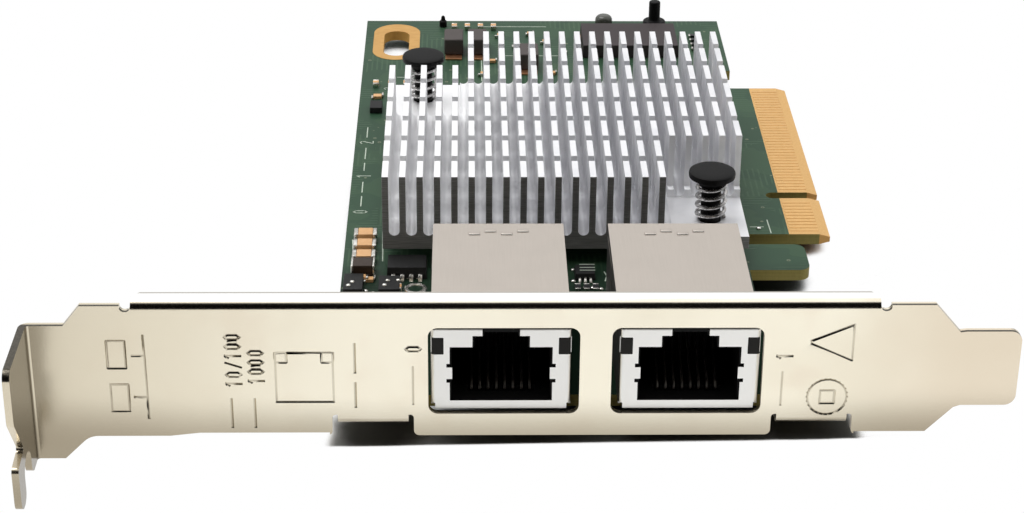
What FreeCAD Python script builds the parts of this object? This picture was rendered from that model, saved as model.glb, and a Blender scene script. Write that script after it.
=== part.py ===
import FreeCAD, Part
import math
import os

os.makedirs("parts", exist_ok=True)
V = FreeCAD.Vector

# Two-port network interface card, millimetres.
# X runs along the bracket (the screw tab is at -X, the slot tongue and the edge connector at +X),
# Y runs from the bracket's outer face into the computer, Z points out of the component side.
# Origin: on the bracket's outer face, midway between the ports, level with the board's top face.

# ---- driving dimensions -------------------------------------------------------------------
# board
board_thick = 1.57
board_left = -32.3            # free long edge
board_right = 27.3            # long edge on the connector side, before the connector stands out
board_front = 3.2             # short edge behind the bracket
board_long = 125.7
board_corner = 1.6            # rounded outer corners of the lug
foot_right = 30.9             # front foot that carries the second bracket screw
foot_rear = 12.4
waist_right = 22.9            # the board is cut back between the foot and the lug
lug_right = 31.2              # lug in front of the edge connector
lug_front = 36.4
lug_rear = 44.2
hook_gap = 7.2                # retention gap behind the connector
hook_left = 23.6

# edge connector, eight lanes
connector_edge = 35.35
connector_front = 47.3
short_section = 11.65
key_width = 1.9
long_section = 38.65
key_depth = 7.6
finger_pitch = 1.0
finger_wide = 0.7
finger_long = 4.0
finger_thick = 0.05
finger_inset = 0.5            # from the end of a section to its first finger
bevel_wide = 1.5
bevel_high = 0.42

# bracket, folded from one sheet
sheet = 0.86
bend_inside = 0.4
bracket_length = 120.02
bracket_width = 18.42
bracket_bottom = -3.79        # edge on the solder side
tongue_end = 51.23
tongue_width = 10.19
tongue_long = 6.7
tongue_corner = 1.4
tongue_step_low = 0.3
tongue_step_high = 0.1
shoulder_long = 3.6
shoulder_step = 0.8           # small step where a shoulder meets the tongue
bottom_corner = 0.7           # rounding of the lower edge beside the feet
screw_tab_deep = 11.43
screw_tab_offset = 3.17
screw_tab_neck = 4.0
screw_tab_horn = 0.55         # the outer horn of the tab reaches lower than the tab
screw_tab_step = 5.6          # height of the cut-back above the outer horn
screw_tab_corner = 1.4        # rounding of the tab's and the horns' corners
screw_tab_waist = 1.0         # cut-back beside the notch
screw_slot_wide = 4.42
screw_slot_deep = 4.42
screw_slot_y = -6.0
flange_left = -55.4
flange_right = 33.9
flange_deep = 2.6
flange_corner = 0.9
relief_wide = 1.3
relief_deep = 1.3
relief_over = 0.3             # notch beside a foot, above the start of its fold
relief_corner = 0.45
foot_tab_deep = 9.6
foot_tab_wide = 8.6
left_foot_x = -26.9
right_foot_x = 26.5
foot_screw_y = 6.3

# ports
port_pitch = 22.1
port_wide = 18.26
port_low = -0.75
port_high = 11.1
port_corner = 1.2

# jacks
jack_pitch = 22.76
jack_wide = 16.95
jack_high = 10.8
jack_front = 0.7              # shield face behind the bracket's outer face
jack_long = 28.1
jack_chin = 0.4               # the shield's face reaches below the board's top
shield_thick = 0.25
shield_fold = 0.5
shield_notch = 0.35           # gap between the folds at a corner of the face
jack_clear = 0.1              # plastic to shield
plug_wide = 12.4
plug_low = 0.7
plug_high = 8.1
latch_wide = 6.9
latch_high = 9.62
slot_wide = 4.5
cavity_lip = 0.2              # the plastic stands in from the shield's cut-out
cavity_deep = 12.2
cavity_roof = 0.5             # plastic above the latch slot
floor_slope = 0.35            # drop of the mouth's floor at the front lip
ground_low = 3.7              # sprung ground finger at each side of the mouth
ground_high = 5.3
ground_reach = 0.3
ground_nick = 0.5             # nick above and below a ground finger
housing_long = 13.4
lamp_wide = 1.5
lamp_low = 7.1
lamp_high = 9.4
lamp_long = 6.0
contact_count = 8
contact_pitch = 1.02
contact_wide = 0.42
contact_thick = 0.3
contact_floor = 0.5           # floor of the trough that holds the contacts
contact_rise = 4.6
contact_bend = 2.2            # front bend of a wire, behind the plastic's face
contact_lift = 1.2            # height of the bend's nose
trough_front = 1.6
lamp_recess = 0.1
housing_lip = 1.0             # length of the floor's slope
pin_row_count = 2
row_pin_count = 4
pin_pitch = 2.54
pin_wide = 0.5
pin_clear = 0.05              # pins and shield legs to the sides of their holes
pin_row_y = 17.6
pin_below = 1.5               # how far tails stand out below the board
shield_leg_wide = 1.5
shield_leg_y = 12.2

# heatsink: an extrusion with round-bottomed channels, cross cut into pin fins
fin_columns = 22
fin_rows = 8
fin_pitch_x = 2.32
fin_pitch_y = 6.79
fin_thick = 0.86
fin_long = 5.2
fin_top = 13.3
channel_low = 4.6
cross_low = 5.6
sink_low = 2.6
sink_front = 37.7
sink_centre_x = -2.05
corner_columns = 5
corner_rows = 2
corner_floor = 4.4
corner_gap_x = 0.2            # land left beside the fins of a notched corner
corner_gap_y = 0.4

# controller stack under the heatsink
package_wide = 25.0
package_high = 1.2
lid_wide = 21.0
lid_high = 1.0

# push pins with springs
pin_head_radius = 3.2
pin_head_high = 1.4
pin_top = 11.8
pin_shaft_radius = 1.35
pin_shaft_clear = 0.2
pin_barb_radius = 1.95
pin_barb_long = 2.3
pin_split = 0.6
pin_split_up = 1.2            # how far the split runs up into the shaft
pin_tip_share = 0.6           # of the shaft's radius
spring_wire = 0.25            # half the wire's thickness
spring_radius = 1.95
spring_turn_count = 4
turn_step_count = 12
wire_side_count = 6
front_pin_x = 17.9
front_pin_y = 43.3

# retention slot with its gold pad
slot_hole_x = -27.1
slot_hole_radius = 2.1
slot_hole_inset = 7.0         # board's rear edge to the rear end's centre
slot_hole_travel = 6.7        # between the centres of its ends
pad_ring_radius = 3.85
pad_reach = 1.4               # the pad reaches further at the rear
pad_thick = 0.05

# fasteners of the bracket
screw_radius = 1.5
screw_clear = 0.15
screw_head_radius = 2.75
screw_head_high = 1.7
screw_long = 4.2

# small parts: sizes, then places counted from the board's edges and from the jacks and heatsink
large_chip = {"long": 3.2, "wide": 2.1, "high": 1.5, "band": 0.6}
small_chip = {"long": 1.6, "wide": 0.9, "high": 0.8, "band": 0.35}
thin_chip = {"long": 1.6, "wide": 0.8, "high": 0.5, "band": 0.3}
tantalum = {"long": 3.2, "wide": 2.6, "high": 1.8, "band": 0.3}
flash = {"wide": 5.4, "deep": 4.0, "high": 1.75}
module = {"wide": 15.8, "deep": 10.2, "high": 2.2}
driver = {"wide": 2.8, "deep": 2.8, "high": 1.0}
flash_lead_count = 4          # along each side
module_lead_count = 6
driver_lead_count = 3
module_inset_x = 7.9          # module's right side to the board's
module_inset_y = 6.5          # module's rear side to the board's
post_behind = 3.2             # lamp and post behind the module
lamp_from_left = 4.15         # counted from the module's left side
post_from_right = 3.1         # counted from the module's right side
power_inductor = {"wide": 3.1, "deep": 5.0, "high": 3.0, "foot_high": 0.3, "foot_out": 1.6,
                  "foot_under": 1.5, "foot_behind": 0.4, "foot_inset": 0.2}
crystal = {"wide": 5.0, "deep": 3.2, "high": 1.1, "rim": 0.2}
strip_inset = 2.85            # column of large chips, in from the board's left side
large_chips_rear = 7.7        # rearmost of them, behind the heatsink's front
large_chip_pitch = 3.3
tantalum_ahead = 2.1
flash_inset = 0.6
flash_behind = 5.0            # behind the jacks
driver_left = -1.0
driver_behind = 4.6
crystal_right = 8.5           # from the heatsink's middle
crystal_behind = 7.5
filter_inset = 7.7            # single small capacitor in front of the flash memory
filter_behind = 1.8
supply_row_left = 2.4         # three small capacitors behind the heatsink
supply_row_pitch = 2.4
supply_row_behind = 10.0
rear_row_left = 14.8          # four small capacitors at the rear edge
rear_row_pitch = 2.2
rear_row_inset = 3.7
driver_row_left = 0.3         # three resistors in front of the port driver
driver_row_pitch = 1.2
driver_row_behind = 2.2
sense_column_inset = 4.7      # four resistors beside the power module
sense_column_rear = 7.5
sense_column_pitch = 1.9
package_gap = 0.1             # a package's underside above the board
package_draft = 0.12
package_foot = 0.5            # inset of the part that rests on the board
lead_row_inset = 0.3
lead_share = 0.44             # of the pitch taken by a lead
lead_reach = 0.9
lead_thick = 0.15
lamp_dome_radius = 1.45
lamp_dome_high = 2.4
board_post_radius = 0.95
board_post_high = 4.9
board_post_foot = 1.5


# ---- helpers ------------------------------------------------------------------------------
def block(x0, x1, y0, y1, z0, z1):
    return Part.makeBox(x1 - x0, y1 - y0, z1 - z0, V(x0, y0, z0))


def post(x, y, half_x, half_y, z0, z1):
    return block(x - half_x, x + half_x, y - half_y, y + half_y, z0, z1)


def rod(x, y, z0, z1, radius):
    return Part.makeCylinder(radius, z1 - z0, V(x, y, z0))


def outline(corners, place):
    """Closed wire through corners (u, v, round radius); place turns (u, v) into a vector."""
    edges = []
    starts = []
    ends = []
    count = len(corners)
    for i in range(count):
        here = V(corners[i][0], corners[i][1], 0)
        before = V(corners[i - 1][0], corners[i - 1][1], 0)
        after = V(corners[(i + 1) % count][0], corners[(i + 1) % count][1], 0)
        radius = corners[i][2] if len(corners[i]) > 2 else 0
        to_before = (before - here).normalize()
        to_after = (after - here).normalize()
        if radius == 0:
            starts.append(here)
            ends.append(here)
            continue
        half = to_before.getAngle(to_after) / 2
        reach = radius / math.tan(half)
        first = here + to_before * reach
        last = here + to_after * reach
        middle = here + (to_before + to_after).normalize() * (radius / math.sin(half) - radius)
        edges.append((i, Part.Arc(place(first.x, first.y), place(middle.x, middle.y),
                                  place(last.x, last.y)).toShape()))
        starts.append(first)
        ends.append(last)
    arcs = dict(edges)
    wire = []
    for i in range(count):
        if i in arcs:
            wire.append(arcs[i])
        here = ends[i]
        there = starts[(i + 1) % count]
        if here.distanceToPoint(there) > 1e-6:
            wire.append(Part.makeLine(place(here.x, here.y), place(there.x, there.y)))
    return Part.Wire(wire)


def plate_xy(corners, z0, z1):
    return Part.Face(outline(corners, lambda u, v: V(u, v, z0))).extrude(V(0, 0, z1 - z0))


def plate_xz(corners, y0, y1):
    return Part.Face(outline(corners, lambda u, v: V(u, y0, v))).extrude(V(0, y1 - y0, 0))


def plate_yz(corners, x0, x1):
    return Part.Face(outline(corners, lambda u, v: V(x0, u, v))).extrude(V(x1 - x0, 0, 0))


def rounded(u0, u1, v0, v1, radius):
    return [(u0, v0, radius), (u1, v0, radius), (u1, v1, radius), (u0, v1, radius)]


def swing(face_points, centre, axis, degrees):
    """Folded corner of a sheet: its cross-section turned about the bend's axis."""
    wire = Part.makePolygon(face_points + [face_points[0]])
    return Part.Face(wire).revolve(centre, axis, degrees)


def join(shapes):
    whole = shapes[0].fuse(shapes[1:]) if len(shapes) > 1 else shapes[0]
    return whole.removeSplitter()


def save(name, shapes):
    shape = shapes if not isinstance(shapes, list) else Part.makeCompound(shapes)
    shape.exportStep("parts/" + name + ".step")


# ---- places worked out from the dimensions ------------------------------------------------
board_low = -board_thick
board_rear = board_front + board_long
bracket_top = bracket_bottom + bracket_width
bracket_left = tongue_end - bracket_length
bend_outside = sheet + bend_inside
connector_rear = connector_front + short_section + key_width + long_section
key_front = connector_front + short_section
key_rear = key_front + key_width
port_centres = [-port_pitch / 2, port_pitch / 2]
jack_centres = [-jack_pitch / 2, jack_pitch / 2]
foot_tab_low = board_low - sheet
jack_rear = jack_front + jack_long
slot_hole_rear = board_rear - slot_hole_inset
slot_hole_front = slot_hole_rear - slot_hole_travel
sink_wide = (fin_columns - 1) * fin_pitch_x + fin_thick
sink_deep = (fin_rows - 1) * fin_pitch_y + fin_long
sink_left = sink_centre_x - sink_wide / 2
sink_right = sink_centre_x + sink_wide / 2
sink_rear = sink_front + sink_deep
sink_centre_y = (sink_front + sink_rear) / 2
corner_wide = corner_columns * fin_pitch_x - (fin_pitch_x - fin_thick)
corner_deep = corner_rows * fin_pitch_y - (fin_pitch_y - fin_long)
push_pins = {
    "front": (front_pin_x, front_pin_y),
    "rear": (2 * sink_centre_x - front_pin_x, 2 * sink_centre_y - front_pin_y),
}
bracket_screws = [(left_foot_x, foot_screw_y), (right_foot_x, foot_screw_y)]

left_strip = board_left + strip_inset
output_capacitor_places = [(left_strip, sink_front + large_chips_rear - i * large_chip_pitch, False)
                           for i in range(3)]
tantalum_place = (left_strip, sink_front - tantalum_ahead, False)
flash_left = sink_left + flash_inset
flash_front = jack_rear + flash_behind
driver_front = jack_rear + driver_behind
module_left = board_right - module_inset_x - module["wide"]
module_front = board_rear - module_inset_y - module["deep"]
behind_module = module_front + module["deep"] + post_behind
crystal_x = sink_centre_x + crystal_right
crystal_y = sink_rear + crystal_behind
inductor_places = [(board_left + across, board_rear - back)
                   for across, back in ((13.2, 16.1), (17.1, 16.1), (25.4, 22.5))]
small_capacitor_places = (
    [(left_strip, driver_front, False), (board_left + filter_inset, jack_rear + filter_behind, True)]
    + [(board_left + supply_row_left + i * supply_row_pitch, sink_rear + supply_row_behind, True)
       for i in range(3)]
    + [(board_left + rear_row_left + i * rear_row_pitch, board_rear - rear_row_inset, True)
       for i in range(4)]
)
resistor_places = (
    [(driver_left + driver_row_left + i * driver_row_pitch, jack_rear + driver_row_behind, True)
     for i in range(3)]
    + [(board_right - sense_column_inset, board_rear - sense_column_rear - i * sense_column_pitch, False)
       for i in range(4)]
)


def jack_pins(centre):
    places = []
    for row in range(pin_row_count):
        for i in range(row_pin_count):
            shift = (i - (row_pin_count - 1) / 2) * pin_pitch + (row - 0.5) * pin_pitch / 2
            places.append((centre + shift, pin_row_y + row * pin_pitch))
    return places


def shield_legs(centre):
    reach = (jack_wide - shield_thick) / 2
    return [(centre + side * reach, shield_leg_y) for side in (-1, 1)]


# ---- board --------------------------------------------------------------------------------
def make_board():
    corners = [
        (board_left, board_front), (board_left, board_rear),
        (board_right, board_rear), (board_right, connector_rear + hook_gap),
        (hook_left, connector_rear + hook_gap), (hook_left, connector_rear),
        (connector_edge, connector_rear), (connector_edge, connector_front),
        (waist_right, connector_front), (waist_right, lug_rear),
        (lug_right, lug_rear, board_corner), (lug_right, lug_front, board_corner),
        (waist_right, lug_front), (waist_right, foot_rear),
        (foot_right, foot_rear), (foot_right, board_front),
    ]
    board = plate_xy(corners, board_low, 0)
    key = plate_xy([(connector_edge - key_depth, key_front, key_width / 2 - 0.01),
                    (connector_edge + 1, key_front), (connector_edge + 1, key_rear),
                    (connector_edge - key_depth, key_rear, key_width / 2 - 0.01)], board_low, 0)
    cuts = [key]
    start = connector_edge - bevel_wide
    for face, low in ((0, -bevel_high), (board_low, board_low + bevel_high)):
        cuts.append(Part.Face(Part.makePolygon([
            V(start, connector_front - 1, face), V(connector_edge + 1, connector_front - 1, face),
            V(connector_edge + 1, connector_front - 1, low), V(connector_edge, connector_front - 1, low),
            V(start, connector_front - 1, face)])).extrude(V(0, connector_rear - connector_front + 2, 0)))
    for x, y in bracket_screws:
        cuts.append(rod(x, y, board_low, 0, screw_radius + screw_clear))
    for x, y in push_pins.values():
        cuts.append(rod(x, y, board_low, 0, pin_shaft_radius + pin_shaft_clear))
    for centre in jack_centres:
        for x, y in jack_pins(centre):
            cuts.append(post(x, y, pin_wide / 2 + pin_clear, pin_wide / 2 + pin_clear, board_low, 0))
        for x, y in shield_legs(centre):
            cuts.append(post(x, y, shield_thick / 2 + pin_clear, shield_leg_wide / 2 + pin_clear,
                             board_low, 0))
    cuts.append(retention_slot(slot_hole_radius, slot_hole_rear, board_low, 0))
    return board.cut(cuts)


def retention_slot(radius, rear, z0, z1):
    ends = [rod(slot_hole_x, y, z0, z1, radius) for y in (slot_hole_front, rear)]
    middle = block(slot_hole_x - radius, slot_hole_x + radius, slot_hole_front, rear, z0, z1)
    return join([middle] + ends)


def make_pad_ring():
    pad = retention_slot(pad_ring_radius, slot_hole_rear + pad_reach, 0, pad_thick)
    return pad.cut(retention_slot(slot_hole_radius, slot_hole_rear, 0, pad_thick))


def finger_places():
    places = []
    for start, length in ((connector_front, short_section), (key_rear, long_section)):
        count = int((length - 2 * finger_inset - finger_wide) / finger_pitch + 1e-6) + 1
        first = start + (length - (count - 1) * finger_pitch) / 2
        places += [first + i * finger_pitch for i in range(count)]
    return places


def make_fingers(z0, z1):
    outer = connector_edge - bevel_wide
    return [block(outer - finger_long, outer, y - finger_wide / 2, y + finger_wide / 2, z0, z1)
            for y in finger_places()]


# ---- bracket ------------------------------------------------------------------------------
def make_bracket():
    tab_low = bracket_bottom - screw_tab_offset
    tab_high = bracket_top - screw_tab_offset
    plate_left = bracket_left + bend_outside
    middle = bracket_bottom + bracket_width / 2
    tongue_low = middle - tongue_width / 2
    tongue_high = middle + tongue_width / 2
    tongue_root = tongue_end - tongue_long
    step = tongue_root - shoulder_step
    shoulder = step - shoulder_long
    neck = plate_left + screw_tab_neck
    corners = [
        (plate_left, tab_low), (neck - 1.0, tab_low),
        (neck + screw_tab_offset - 1.0, bracket_bottom, 2.5),
        (shoulder, bracket_bottom), (step, tongue_low - tongue_step_low), (tongue_root, tongue_low),
        (tongue_end, tongue_low, tongue_corner), (tongue_end, tongue_high, tongue_corner),
        (tongue_root, tongue_high), (step, tongue_high - tongue_step_high),
        (shoulder, bracket_top), (neck + screw_tab_offset - 0.7, bracket_top), (neck, tab_high),
        (plate_left, tab_high),
    ]
    plate = plate_xz(corners, 0, sheet)

    # port openings
    cuts = []
    for centre in port_centres:
        cuts.append(plate_xz(rounded(centre - port_wide / 2, centre + port_wide / 2,
                                     port_low, port_high, port_corner), 0, sheet))
    # the strip above the top fold goes, and a relief notch ends it on each side
    fold_z = bracket_top - bend_outside
    cuts.append(block(flange_left, flange_right, 0, sheet, fold_z, bracket_top))
    for x0, x1 in ((flange_left - relief_wide, flange_left), (flange_right, flange_right + relief_wide)):
        cuts.append(plate_xz([(x0, bracket_top), (x1, bracket_top),
                              (x1, bracket_top - relief_deep, 0.6), (x0, bracket_top - relief_deep, 0.6)],
                             0, sheet))
    # the same for the two feet at the bottom edge
    foot_z = foot_tab_low + bend_outside
    feet = [(x - foot_tab_wide / 2, x + foot_tab_wide / 2) for x in (left_foot_x, right_foot_x)]
    for x0, x1 in feet:
        cuts.append(block(x0, x1, 0, sheet, bracket_bottom, foot_z))
        for inner, side in ((x0, -1), (x1, 1)):
            cuts.append(foot_relief(inner, side, foot_z + relief_over))
    pieces = [plate.cut(cuts)]

    # top flange, folded back
    pieces.append(swing([V(flange_left, 0, fold_z), V(flange_right, 0, fold_z),
                         V(flange_right, sheet, fold_z), V(flange_left, sheet, fold_z)],
                        V(0, bend_outside, fold_z), V(1, 0, 0), -90))
    pieces.append(plate_xy([(flange_left, bend_outside), (flange_right, bend_outside),
                            (flange_right, flange_deep - flange_corner),
                            (flange_right - flange_corner, flange_deep),
                            (flange_left + flange_corner, flange_deep),
                            (flange_left, flange_deep - flange_corner)],
                           bracket_top - sheet, bracket_top))
    # feet under the board, folded back, each with a screw hole
    for (x0, x1), (screw_x, screw_y) in zip(feet, bracket_screws):
        pieces.append(swing([V(x0, 0, foot_z), V(x1, 0, foot_z), V(x1, sheet, foot_z), V(x0, sheet, foot_z)],
                            V(0, bend_outside, foot_z), V(1, 0, 0), 90))
        foot = plate_xy([(x0, bend_outside), (x1, bend_outside), (x1, foot_tab_deep, 1.2),
                         (x0, foot_tab_deep, 1.2)], foot_tab_low, board_low)
        pieces.append(foot.cut(rod(screw_x, screw_y, foot_tab_low, board_low, screw_radius)))
    # screw tab, folded out toward the user
    pieces.append(swing([V(plate_left, 0, tab_low), V(plate_left, sheet, tab_low),
                         V(plate_left, sheet, tab_high), V(plate_left, 0, tab_high)],
                        V(plate_left, -bend_inside, 0), V(0, 0, 1), 90))
    pieces.append(make_screw_tab(tab_low, tab_high))
    return join(pieces)


def foot_relief(inner, side, high):
    """Notch beside a foot; the lower edge of the plate is rounded into it."""
    outer = inner + side * relief_wide / 2
    below = bracket_bottom - 1
    notch = plate_xz([(inner, below), (outer, below), (outer, high, relief_corner), (inner, high)], 0, sheet)
    corner = post(outer + side * bottom_corner / 2, sheet / 2, bottom_corner / 2, sheet / 2,
                  bracket_bottom, bracket_bottom + bottom_corner)
    round_edge = Part.makeCylinder(bottom_corner, sheet,
                                   V(outer + side * bottom_corner, 0, bracket_bottom + bottom_corner),
                                   V(0, 1, 0))
    return notch.fuse(corner.cut(round_edge))


def make_screw_tab(low, high):
    far = -screw_tab_deep
    slot_far = screw_slot_y - screw_slot_wide / 2
    slot_near = screw_slot_y + screw_slot_wide / 2
    neck_z = low + screw_slot_deep + 1.5
    corners = [
        (-bend_inside, high), (far, high, screw_tab_corner),
        (far, neck_z + screw_tab_step, screw_tab_corner),
        (slot_far + screw_tab_waist, neck_z, screw_tab_corner / 3),
        (far, neck_z - screw_tab_waist / 2, screw_tab_corner / 2),
        (far, low - screw_tab_horn, screw_tab_corner), (slot_far, low - screw_tab_horn, screw_tab_corner),
        (slot_far, low + screw_slot_deep, screw_slot_wide / 2 - 0.01),
        (slot_near, low + screw_slot_deep, screw_slot_wide / 2 - 0.01),
        (slot_near, low, screw_tab_corner), (-bend_inside, low),
    ]
    return plate_yz(corners, bracket_left, bracket_left + sheet)


# ---- jacks --------------------------------------------------------------------------------
def plug_outline(centre, grow, top):
    """Stepped mouth of a jack: plug, latch and latch slot."""
    steps = [(plug_wide / 2 + grow, plug_low - grow, plug_high + grow),
             (latch_wide / 2 + grow, plug_high + grow, latch_high + grow),
             (slot_wide / 2 + grow, latch_high + grow, top)]
    right = []
    for half, low, high in steps:
        right += [(centre + half, low), (centre + half, high)]
    left = [(2 * centre - x, z) for x, z in reversed(right)]
    return right + left


def folded_box(x0, x1, y0, y1, z0, z1, fold):
    """Box whose front edges are folds of the given radius."""
    body = block(x0, x1, y0, y1, z0, z1)
    folds = []
    for edge in body.Edges:
        box = edge.BoundBox
        at_front = box.YMax < y0 + 1e-6
        if at_front and (box.ZLength > 1 or box.ZMin > z1 - 1e-6):
            folds.append(edge)
    return body.makeFillet(fold, folds)


def make_shield(centre):
    x0 = centre - jack_wide / 2
    x1 = centre + jack_wide / 2
    t = shield_thick
    shell = folded_box(x0, x1, jack_front, jack_rear, 0, jack_high, shield_fold)
    inside = block(x0 + t, x1 - t, jack_front + t, jack_rear - t, -1, jack_high - t)
    chin = block(x0 + shield_fold, x1 - shield_fold, jack_front, jack_front + t, -jack_chin, t)
    shell = shell.cut(inside).fuse(chin)
    cuts = [plate_xz(plug_outline(centre, 0, jack_high + 1), jack_front - 1, jack_front + t)]
    cuts.append(block(centre - slot_wide / 2, centre + slot_wide / 2,
                      jack_front - 1, jack_front + 1.0, latch_high, jack_high + 1))
    for side in (-1, 1):
        outer = centre + side * jack_wide / 2
        inner = outer - side * lamp_wide
        cuts.append(block(min(outer, inner), max(outer, inner), jack_front - 1, jack_front + shield_fold,
                          lamp_low, lamp_high))
        # the folds leave a gap at each corner of the face
        corner = outer - side * shield_fold
        for z0, z1 in ((-1, shield_notch), (jack_high - shield_notch, jack_high + 1)):
            cuts.append(block(min(outer, corner), max(outer, corner), jack_front - 1,
                              jack_front + shield_fold, z0, z1))
        # a ground finger stands into the mouth between two small nicks
        edge = centre + side * plug_wide / 2
        for z in (ground_low - ground_nick, ground_high):
            cuts.append(block(edge - 0.4, edge + 0.4, jack_front - 1, jack_front + t, z, z + ground_nick))
    shell = shell.cut(cuts)
    parts = [shell]
    for side, (x, y) in zip((-1, 1), shield_legs(centre)):
        parts.append(post(x, y, t / 2, shield_leg_wide / 2, board_low - pin_below, 1.0))
        edge = centre + side * plug_wide / 2
        tip = edge - side * ground_reach
        parts.append(block(min(edge, tip), max(edge, tip), jack_front, jack_front + t,
                           ground_low, ground_high))
    return join(parts)


def make_housing(centre):
    gap = shield_thick + jack_clear
    x0 = centre - jack_wide / 2 + gap
    x1 = centre + jack_wide / 2 - gap
    y0 = jack_front + gap
    y1 = y0 + housing_long
    body = block(x0, x1, y0, y1, 0, jack_high - gap)
    cuts = [plate_xz(plug_outline(centre, -cavity_lip, jack_high - gap - cavity_roof), y0, y0 + cavity_deep)]
    # the floor of the mouth slopes down to the front lip
    lip = plug_low + cavity_lip
    half = plug_wide / 2 - cavity_lip
    cuts.append(Part.Face(Part.makePolygon([
        V(centre - half, y0, lip), V(centre - half, y0 + housing_lip, lip),
        V(centre - half, y0, lip - floor_slope),
        V(centre - half, y0, lip)])).extrude(V(2 * half, 0, 0)))
    for side in (-1, 1):
        outer = x1 if side > 0 else x0
        inner = centre + side * (jack_wide / 2 - lamp_wide)
        cuts.append(block(min(outer, inner), max(outer, inner), y0, y0 + lamp_long, lamp_low, lamp_high))
    # a trough behind the front lip holds the contacts
    cuts.append(block(centre - contact_count * contact_pitch / 2, centre + contact_count * contact_pitch / 2,
                      y0 + trough_front, y0 + cavity_deep, contact_floor, lip))
    return body.cut(cuts)


def make_contacts(centre):
    """Eight sprung wires that rise from the floor of the mouth to its back."""
    y0 = jack_front + shield_thick + jack_clear
    low = contact_floor
    back = y0 + cavity_deep
    bend = y0 + contact_bend
    t = contact_thick
    side = [(back, low), (bend, low), (bend - t, low + contact_lift), (back - contact_bend, contact_rise),
            (bend + t, low + t), (back, low + t)]
    wires = []
    for i in range(contact_count):
        x = centre + (i - (contact_count - 1) / 2) * contact_pitch
        wires.append(plate_yz(side, x - contact_wide / 2, x + contact_wide / 2))
    return wires


def make_lamps(centre):
    gap = shield_thick + jack_clear
    lamps = []
    for side in (-1, 1):
        outer = centre + side * (jack_wide / 2 - gap)
        inner = centre + side * (jack_wide / 2 - lamp_wide)
        lamps.append(block(min(outer, inner), max(outer, inner), jack_front + lamp_recess,
                           jack_front + gap + lamp_long, lamp_low, lamp_high))
    return lamps


def make_magnetics(centre):
    gap = shield_thick + jack_clear
    y0 = jack_front + gap + housing_long
    return block(centre - jack_wide / 2 + gap, centre + jack_wide / 2 - gap, y0, jack_rear - gap,
                 0, jack_high - gap)


def make_jack_pins(centre):
    return [post(x, y, pin_wide / 2, pin_wide / 2, board_low - pin_below, 0) for x, y in jack_pins(centre)]


# ---- heatsink -----------------------------------------------------------------------------
def make_heatsink():
    """Bar extruded along Y with round-bottomed channels, then cross cut and notched at two corners."""
    channel = fin_pitch_x - fin_thick
    corners = [(sink_left, sink_low), (sink_right, sink_low), (sink_right, fin_top)]
    for i in range(fin_columns - 1):
        right = sink_right - fin_thick - i * fin_pitch_x
        left = right - channel
        corners += [(right, fin_top), (right, channel_low, channel / 2 - 0.005),
                    (left, channel_low, channel / 2 - 0.005), (left, fin_top)]
    corners.append((sink_left, fin_top))
    bar = plate_xz(corners, sink_front, sink_rear)
    cuts = []
    cross = fin_pitch_y - fin_long
    for i in range(fin_rows - 1):
        y = sink_front + fin_long + i * fin_pitch_y
        cuts.append(block(sink_left - 1, sink_right + 1, y, y + cross, cross_low, fin_top + 1))
    cuts.append(block(sink_right - corner_wide - corner_gap_x, sink_right + 1, sink_front - 1,
                      sink_front + corner_deep + corner_gap_y, corner_floor, fin_top + 1))
    cuts.append(block(sink_left - 1, sink_left + corner_wide + corner_gap_x,
                      sink_rear - corner_deep - corner_gap_y, sink_rear + 1, corner_floor, fin_top + 1))
    for x, y in push_pins.values():
        cuts.append(rod(x, y, sink_low - 1, corner_floor + 1, pin_shaft_radius + pin_shaft_clear))
    return bar.cut(cuts)


def make_push_pin(x, y):
    """Flat head, shaft and a split barb that snaps under the board."""
    head = rod(x, y, pin_top - pin_head_high, pin_top, pin_head_radius)
    shaft = rod(x, y, board_low, pin_top - pin_head_high, pin_shaft_radius)
    barb = Part.makeCone(pin_shaft_radius * pin_tip_share, pin_barb_radius, pin_barb_long,
                         V(x, y, board_low - pin_barb_long))
    split = post(x, y, pin_split / 2, pin_barb_radius + 1, board_low - pin_barb_long - 1,
                 board_low + pin_split_up)
    return join([head, shaft, barb]).cut(split)


def make_spring(x, y):
    """Wire wound between the heatsink's corner floor and the pin's head."""
    low = corner_floor + spring_wire
    high = pin_top - pin_head_high - spring_wire
    steps = spring_turn_count * turn_step_count
    sections = []
    for i in range(steps + 1):
        turned = 2 * math.pi * i / turn_step_count
        rise = low + (high - low) * i / steps
        points = []
        for k in range(wire_side_count + 1):
            around = 2 * math.pi * (k + 0.5) / wire_side_count
            reach = spring_radius + spring_wire * math.cos(around)
            points.append(V(x + reach * math.cos(turned), y + reach * math.sin(turned),
                            rise + spring_wire * math.sin(around)))
        sections.append(Part.makePolygon(points))
    return Part.makeLoft(sections, True, True)


# ---- small parts on the board -------------------------------------------------------------
def chip(x, y, size, turned):
    """Leadless chip: its body and two end caps, lying along X, or along Y when turned."""
    half = size["long"] / 2
    side = size["wide"] / 2
    band = size["band"]
    high = size["high"]
    boxes = []
    for low, top in ((-half + band, half - band), (-half, -half + band), (half - band, half)):
        if turned:
            boxes.append(block(x - side, x + side, y + low, y + top, 0, high))
        else:
            boxes.append(block(x + low, x + top, y - side, y + side, 0, high))
    return boxes[0], boxes[1:]


def save_chips(name, size, places):
    bodies = []
    caps = []
    for x, y, turned in places:
        body, ends = chip(x, y, size, turned)
        bodies.append(body)
        caps += ends
    save(name, bodies)
    save(name + "_ends", caps)


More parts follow.
